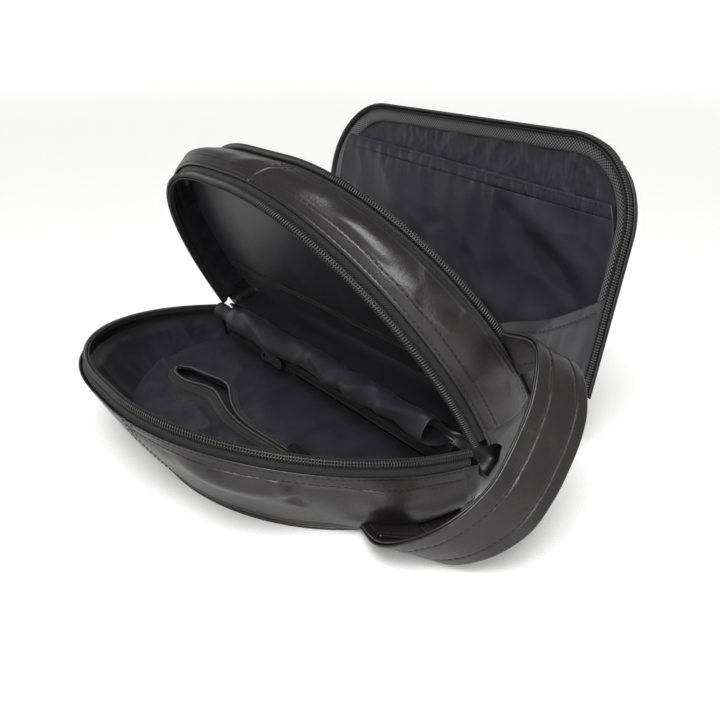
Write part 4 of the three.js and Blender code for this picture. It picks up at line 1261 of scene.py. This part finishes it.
def build_side_gussets():
    u, v = shares(90, 80)
    hem = 0.5 * smooth((v - GUSSET_HEM_SHARE) / 0.03) + groove(v - GUSSET_HEM_SHARE, 0.012, 0.4)
    stitch_v = np.full(200, GUSSET_STITCH_SHARE)
    along = np.linspace(0.03, 0.97, len(stitch_v))
    for side, word in ((-1, "near"), (1, "far")):
        piece = cloth_sheet(f"Side_gusset_{word}", lambda lift: side_gusset_place(side, u, v, hem, lift),
                            CLOTH, lining)
        rows = stitch_row(lambda lift: side_gusset_place(side, along, stitch_v, 0.4, lift))
        row = tube(f"Side_gusset_stitches_{word}", rows, THREAD / 2, 5, thread)
        middle = (side * (MOUTH_WIDTH / 2 + LINING_INNER - SEAT), SIDE_GUSSET_HEIGHT * GUSSET_BEND_SHARE,
                  COIL_CLEARANCE - SEAT)
        for each in (piece, row):
            bend_between(each, rear_mouth(*middle), lid_mouth(*middle))


def build_base_gusset():
    half = MOUTH_WIDTH / 2 - WALL_MARGIN
    start = rear_mouth(0.0, -BASE_OVERHANG - SEAT, LEATHER_EDGE - 2 * SEAT)
    end = lid_mouth(0.0, -WALL_MARGIN - 2 * SEAT - 2 * LEATHER, LID_DEPTH - LEATHER)
    down = np.array([end[2] - start[2], 0, start[0] - end[0]])
    down = down / np.linalg.norm(down)
    u, v = shares(160, 40)
    y = half * (2 * u - 1)
    sag = WALL_MARGIN * np.sin(math.pi * v) + inside_edges(v, 0, 1, 0.2) * 0.9 * ripple(y, v * 40, 34, 121)

    def place(lift):
        face = start + (end - start) * v[..., None] + down * (sag + lift)[..., None]
        face[..., 1] = y
        return face

    bend_between(cloth_sheet("Base_gusset", place, LEATHER, leather), REAR_BASE, LID_FOOT)


def build_base_fold():
    """The base's leather between the sections, folded in under the hinge and fanned out at its near end."""
    inner = -BASE_OVERHANG - SEAT + LEATHER
    a = front_mouth(0.0, inner, LEATHER_EDGE - SEAT)
    b = middle_mouth(0.0, inner, LEATHER_EDGE - SEAT)
    tuck = ((a + b) / 2 + HINGE) / 2
    u, v = shares(200, 36)
    t = v[..., None]
    y = (MOUTH_WIDTH / 2 - 1.0) * (2 * u - 1)
    end = smooth((np.abs(y) - MOUTH_WIDTH / 2 + 16) / 14)
    outward = (a + b) / 2 - HINGE
    outward = outward / np.linalg.norm(outward)
    far_fold = -2.5 * end * (y > 0) * np.sin(3 * math.pi * v)
    near_folds = 1.3 * np.exp(-((y + 117) / 9) ** 2) * np.sin(9 * math.pi * v)
    folds = inside_edges(v, 0, 1, 0.25) * (0.8 * ripple(y, v * 20, 30, 123) + near_folds) + far_fold
    fan = np.exp(-((y + 119) / 11) ** 2)[..., None]
    fan_route = np.array([a, a + 6 * outward - 7 * across(90), a + 13 * outward - 8 * across(90),
                          (a + b) / 2 + 18 * outward, b + 13 * outward + 5 * across(MIDDLE_LEAN),
                          b + 5 * outward + 5 * across(MIDDLE_LEAN), b])
    fan_section = smooth_route(fan_route, v)

    def place(lift):
        section = a * (1 - t) ** 2 + tuck * 2 * t * (1 - t) + b * t ** 2
        face = section * (1 - fan) + fan_section * fan + outward * (folds + lift)[..., None]
        face[..., 1] = y
        return face

    bend_between(cloth_sheet("Base_fold", place, LEATHER, leather), a, b)


# The slack lining's section across the fold, from the front shell's side round to the partition's,
# as shares of the fold's radius from the middle of its roll
PLEAT_SECTION_SHARES = [(2.5, -2.7), (1.2, -2.5), (-0.3, -2.1), (-1.35, -1.3), (-1.05, -0.3), (-0.3, 0.4),
                        (0.5, 0.3), (1.2, -0.5), (1.9, -1.3), (2.75, -2.45)]
# Creases across the fold, by distance along the hinge and distance across the cloth
PLEAT_FOLDS = [
    ((-38, 14), (-8, 25), 3.4, 1.5),
    ((-38, 15), (-66, 26), 3.2, 1.4),
    ((-42, 10), (-70, 14), 4.0, -1.2),
    ((-30, 10), (0, 13), 4.0, -1.2),
    ((26, 15), (70, 27), 4.0, 1.4),
    ((4, 20), (40, 30), 5.0, -1.0),
    ((-74, 18), (-104, 26), 3.6, 1.5),
]


def pleat_size(y):
    """How full the fold is along the hinge, with the deep notch and the slack ends of the photograph."""
    notch = 0.42 * np.exp(-((y + 38) / 7) ** 2) + 0.1 * np.exp(-((y - 4) / 14) ** 2)
    slack = 0.3 * np.exp(-((y + 82) / 14) ** 2) + 0.4 * smooth((y - 80) / 12)
    return 1.1 - notch - slack + 0.06 * ripple(y, 0 * y, 60, 131)


def build_hinge_pleat():
    """The lining is slack along the hinge, and stands up in a rolled fold that is open at both ends."""
    section = np.array(PLEAT_SECTION_SHARES) * PLEAT_RADIUS
    route = np.column_stack([section[:, 0], 0 * section[:, 0], section[:, 1]])
    u, v = shares(300, 80)
    y = PLEAT_LENGTH * (u - 0.5)
    free = inside_edges(v, 0, 1, 0.2)
    size = 1 + (pleat_size(y) - 1) * free
    place_on = smooth_route(route, v)
    wrinkle = free * (1.4 * shaped(y, v * 46, PLEAT_FOLDS) + 0.9 * ripple(y, v * 46, 28, 134))
    drop = 3.0 * free * smooth((y - 76) / 16)
    sway = free * 1.6 * ripple(y, 0 * y, 62, 133)
    slope = smooth_route(route, np.clip(v + 0.01, 0, 1)) - smooth_route(route, np.clip(v - 0.01, 0, 1))
    out_x, out_z = -slope[..., 2], slope[..., 0]
    norm = np.maximum(np.hypot(out_x, out_z), 1e-9)

    def place(lift):
        x = place_on[..., 0] * size + sway + out_x / norm * (wrinkle + lift)
        z = place_on[..., 2] * size + out_z / norm * (wrinkle + lift) - drop
        return np.stack([HINGE[0] - PLEAT_REACH + x, y, HINGE[2] + PLEAT_HEIGHT + z], -1)

    piece = cloth_sheet("Hinge_pleat", place, CLOTH, lining)
    settle(piece, "front_shell")
    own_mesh(piece)


# The strap's route, as shares of its reach from the hinge's near end, with the way its width points
STRAP_ROUTE_SHARES = [
    (-0.82, 0.225, -0.58, 0.93, -0.36, -0.05),
    (-0.98, -0.26, -0.535, 0.86, -0.16, -0.49),
    (-0.81, -0.64, -0.35, 0.63, -0.15, -0.76),
    (-0.45, -0.88, -0.03, 0.54, -0.46, -0.71),
    (-0.07, -0.86, 0.35, 0.69, -0.52, -0.5),
    (0.27, -0.72, 0.76, 0.8, -0.4, -0.44),
    (0.49, -0.41, 0.99, 0.84, -0.12, -0.54),
    (0.33, -0.08, 0.92, 0.5, 0.0, -0.87),
]


def strap_place(u, v, lift):
    route = np.array(STRAP_ROUTE_SHARES)
    start = np.array([HINGE[0], -MOUTH_WIDTH / 2, HINGE[2]])
    centres = route[:, :3] * STRAP_REACH + start
    widths = route[:, 3:] / np.linalg.norm(route[:, 3:], axis=1, keepdims=True) * STRAP_WIDTH
    u, v, lift = np.broadcast_arrays(np.asarray(u, float), v, lift)
    width = smooth_route(widths, u)
    behind = smooth_route(centres, np.clip(u - 0.004, 0, 1))
    ahead = smooth_route(centres, np.clip(u + 0.004, 0, 1)) - behind
    normal = np.cross(ahead, width)
    normal = normal / np.linalg.norm(normal, axis=-1, keepdims=True)
    return smooth_route(centres, u) + width * (v - 0.5)[..., None] + normal * lift[..., None]


def strap_relief(x, y):
    """Sunk seams, the pinched cloth along the inner one, and soft dents."""
    lines = sum(groove(y - at, 0.6, 0.35) for at in STRAP_STITCHES)
    pinch = np.exp(-((y - STRAP_STITCHES[0] + 2.0) / 3.2) ** 2)
    pucker = 0.9 * pinch * inside_edges(x, 60, 150, 25) * (crumple(x, y * 0.4, 9, 141, 3) - 0.4)
    return lines + pucker + 0.35 * ripple(x, y, 34, 142) + 0.2 * ripple(x, y, 12, 143)


def build_strap():
    u, v = shares(300, 60)
    relief = strap_relief(u * STRAP_LENGTH, v * STRAP_WIDTH)
    outside = SEAT / 2 + STRAP_PLY
    pieces = [cloth_sheet("Strap_outer_ply", lambda lift: strap_place(u, v, -outside - relief - lift),
                          STRAP_PLY, leather),
              cloth_sheet("Strap_inner_ply", lambda lift: strap_place(u, v, outside + 0.6 * relief + lift),
                          STRAP_PLY, leather)]
    rows = []
    along = np.linspace(0.02, 0.98, 400)
    for at in STRAP_STITCHES:
        dip = strap_relief(along * STRAP_LENGTH, at)
        rows += stitch_row(lambda lift: strap_place(along, at / STRAP_WIDTH, -outside - dip - lift))
        rows += stitch_row(lambda lift: strap_place(along, at / STRAP_WIDTH, outside + 0.6 * dip + lift))
    pieces.append(tube("Strap_stitches", rows, THREAD / 2, 5, thread))
    low, high = strap_place(0.25, 0.5, 0.0), strap_place(0.85, 0.5, 0.0)
    for piece in pieces:
        bend_between(piece, low, high)
    build_strap_patch()


def build_strap_patch():
    """The strap's end is turned back and sewn down, and runs on as a tab along the wall's foot."""
    u, v = shares(30, 30)
    along = (PATCH_OFFSET + PATCH_LENGTH * u) / STRAP_LENGTH
    across_it = 0.5 + (v - 0.5) * PATCH_WIDTH_SHARE
    under = SEAT / 2 + STRAP_PLY + SEAT
    x = u * PATCH_LENGTH
    seams = (PATCH_SEAM, PATCH_LENGTH - PATCH_SEAM)
    dip = sum(groove(x - at, 0.6, 0.3) for at in seams)
    leather_sheet("front_shell", "Strap_end_patch",
                  lambda lift: strap_place(along, across_it, under + STRAP_PLY + dip + lift), STRAP_PLY)
    side = np.linspace(0.14, 0.86, 60)
    top = under + STRAP_PLY - 0.2
    lines = []
    for at in seams:
        spot = np.full_like(side, (PATCH_OFFSET + at) / STRAP_LENGTH)
        lines.append(lambda lift, spot=spot: strap_place(spot, side, top + lift))
    stitches("Strap_end_stitches", lines, "front_shell")
    u, v = shares(60, 30)
    x, y = (corner + size * share for corner, size, share in zip(TAB_CORNER, TAB_SIZE, (u, v)))
    wave = 0.5 * ripple(x, y, 16, 145)
    for at in TAB_SEAMS:
        wave = wave + groove(x - at, 0.6, 0.4)
    low = TAB_TOP - 1.6 * v - 0.8 * u + wave
    bowed = y - 1.5 * np.sin(math.pi * u)
    leather_sheet("front_shell", "Strap_end_tab", lambda lift: np.stack([x, bowed, low + lift], -1),
                  STRAP_PLY)


# The main zip's tail, tucked along the base wall

def build_tail():
    under = LEATHER + SEAT + CLOTH + SEAT - BASE_OVERHANG
    mid = (LEATHER_EDGE + HINGE_HEIGHT - POCKET_HEIGHT) / 2
    u, v = shares(90, 16)
    y = TAIL_FROM_MIDDLE + TAIL_LENGTH * u
    wave = 0.15 * ripple(y, v * TAIL_WIDTH, 22, 151)
    tape_sheet("front_shell", "Main_zip_tail_tape",
               lambda lift: front_mouth(y, under + WEBBING + wave + lift, mid + TAIL_WIDTH * (v - 0.5)))

    def place(share, aside, up):
        height = under + WEBBING + SEAT + COIL_WIRE
        return front_mouth(TAIL_FROM_MIDDLE + TAIL_LENGTH * share, height + up * 0.4, mid + 2.4 * aside)

    along = np.linspace(0, 1, 120)
    ways = [coil_turns(place, TAIL_LENGTH, COIL_PITCH, 0.9, 0.9), place(along, 0 * along, 0 * along)]
    settle(tube("Main_zip_tail_coil", ways, COIL_WIRE / 2, 6, coil_nylon), "front_shell")


def dress_kept_nodes():
    finishes = {"slider_metal": nickel, "stiffener_plastic": board_plastic, "stiffener_board": chipboard,
                "imitation_leather": leather, "lining_cloth": lining}
    slots = {part["node"]: part["material_slot"] for part in frame["record"]["subparts"]}
    for name, node in frame["nodes"].items():
        if not node.hide_render and slots[name] in finishes:
            node.data.materials.clear()
            node.data.materials.append(finishes[slots[name]])


# Stage, lights and camera: the stage and the lamps are placed in metres

def build_stage():
    """A white sweep: a level floor that curves up into a low wall all round, far behind the bag."""
    radius, curve, wall, around = 2.6, 0.7, 0.6, 96
    bend = np.linspace(0, math.pi / 2, 13)
    profile = [(0.0, 0.0), (0.6, 0.0), (radius, 0.0)]
    profile += [(radius + curve * math.sin(t), curve * (1 - math.cos(t))) for t in bend[1:]]
    profile.append((radius + curve, curve + wall))
    turn = np.arange(around) * 2 * math.pi / around
    points = [(r * math.cos(t), r * math.sin(t), z) for r, z in profile[1:] for t in turn]
    faces = [tuple(range(around))]
    for ring in range(len(profile) - 2):
        low, high = ring * around, (ring + 1) * around
        for k in range(around):
            n = (k + 1) % around
            faces.append((low + k, high + k, high + n, low + n))
    sweep = bpy.data.meshes.new("Floor")
    sweep.from_pydata(points, [], faces)
    sweep.shade_smooth()
    piece = bpy.data.objects.new("Floor", sweep)
    bpy.context.scene.collection.objects.link(piece)
    sweep.materials.append(plain_finish("white_paper_sweep", "#f7f7f6", 0.8, 0.0, Roughness=0.9, IOR=1.45))
    world = bpy.data.worlds.new("Studio")
    world.use_nodes = True
    world.node_tree.nodes["Background"].inputs["Color"].default_value = (1, 1, 1, 1)
    world.node_tree.nodes["Background"].inputs["Strength"].default_value = 0.2
    bpy.context.scene.world = world
    bpy.context.scene.view_settings.view_transform = "Standard"


BAG_MIDDLE = Vector((0.05, 0.0, 0.06))


def add_light(name, kind, place, power, **settings):
    """A lamp that faces the bag's middle."""
    data = bpy.data.lights.new(name, kind)
    data.energy = power
    for key, value in settings.items():
        setattr(data, key, value)
    lamp = bpy.data.objects.new(name, data)
    lamp.location = place
    lamp.rotation_mode = "QUATERNION"
    lamp.rotation_quaternion = (BAG_MIDDLE - Vector(place)).to_track_quat("-Z", "Y")
    bpy.context.scene.collection.objects.link(lamp)


def build_lights():
    add_light("Key_panel", "SUN", (-0.45, -0.5, 1.2), 3.1, angle=math.radians(36))
    add_light("Overhead_softbox", "AREA", (-0.45, -0.5, 1.05), 3, shape="RECTANGLE", size=0.45,
              size_y=0.35)
    add_light("Front_softbox", "AREA", (-0.67, -0.85, 0.62), 8, shape="RECTANGLE", size=0.4,
              size_y=0.36)


def build_camera():
    """Stands where the photograph was taken from, as fitted to the outlines of the mouths and the lid."""
    data = bpy.data.cameras.new("Camera")
    data.lens = 40.0
    data.sensor_width = 36.0
    camera = bpy.data.objects.new("Camera", data)
    eye = Vector((-187.56, -354.58, 221.68)) * MM
    forward = Vector((0.5424, 0.7381, -0.4012)).normalized()
    right = Vector((0.806, -0.592, 0.0)).normalized()
    up = right.cross(forward).normalized()
    turn = Matrix((right, up, -forward)).transposed()
    camera.matrix_world = Matrix.Translation(eye) @ turn.to_4x4()
    data.clip_start = 0.01
    bpy.context.scene.collection.objects.link(camera)
    bpy.context.scene.camera = camera


build_camera()
build_stage()
build_lights()
build_front_wall()
build_front_panel()
build_bases()
build_zips()
build_pocket_back()
build_pocket_face()
build_pocket_zip()
build_front_lining()
build_band()
build_middle_inside()
build_binding_tapes()
build_lid_shell()
build_lid_roll()
build_slip_pocket()
build_lid_foot()
build_side_gussets()
build_base_gusset()
build_base_fold()
build_hinge_pleat()
build_strap()
build_tail()
dress_kept_nodes()
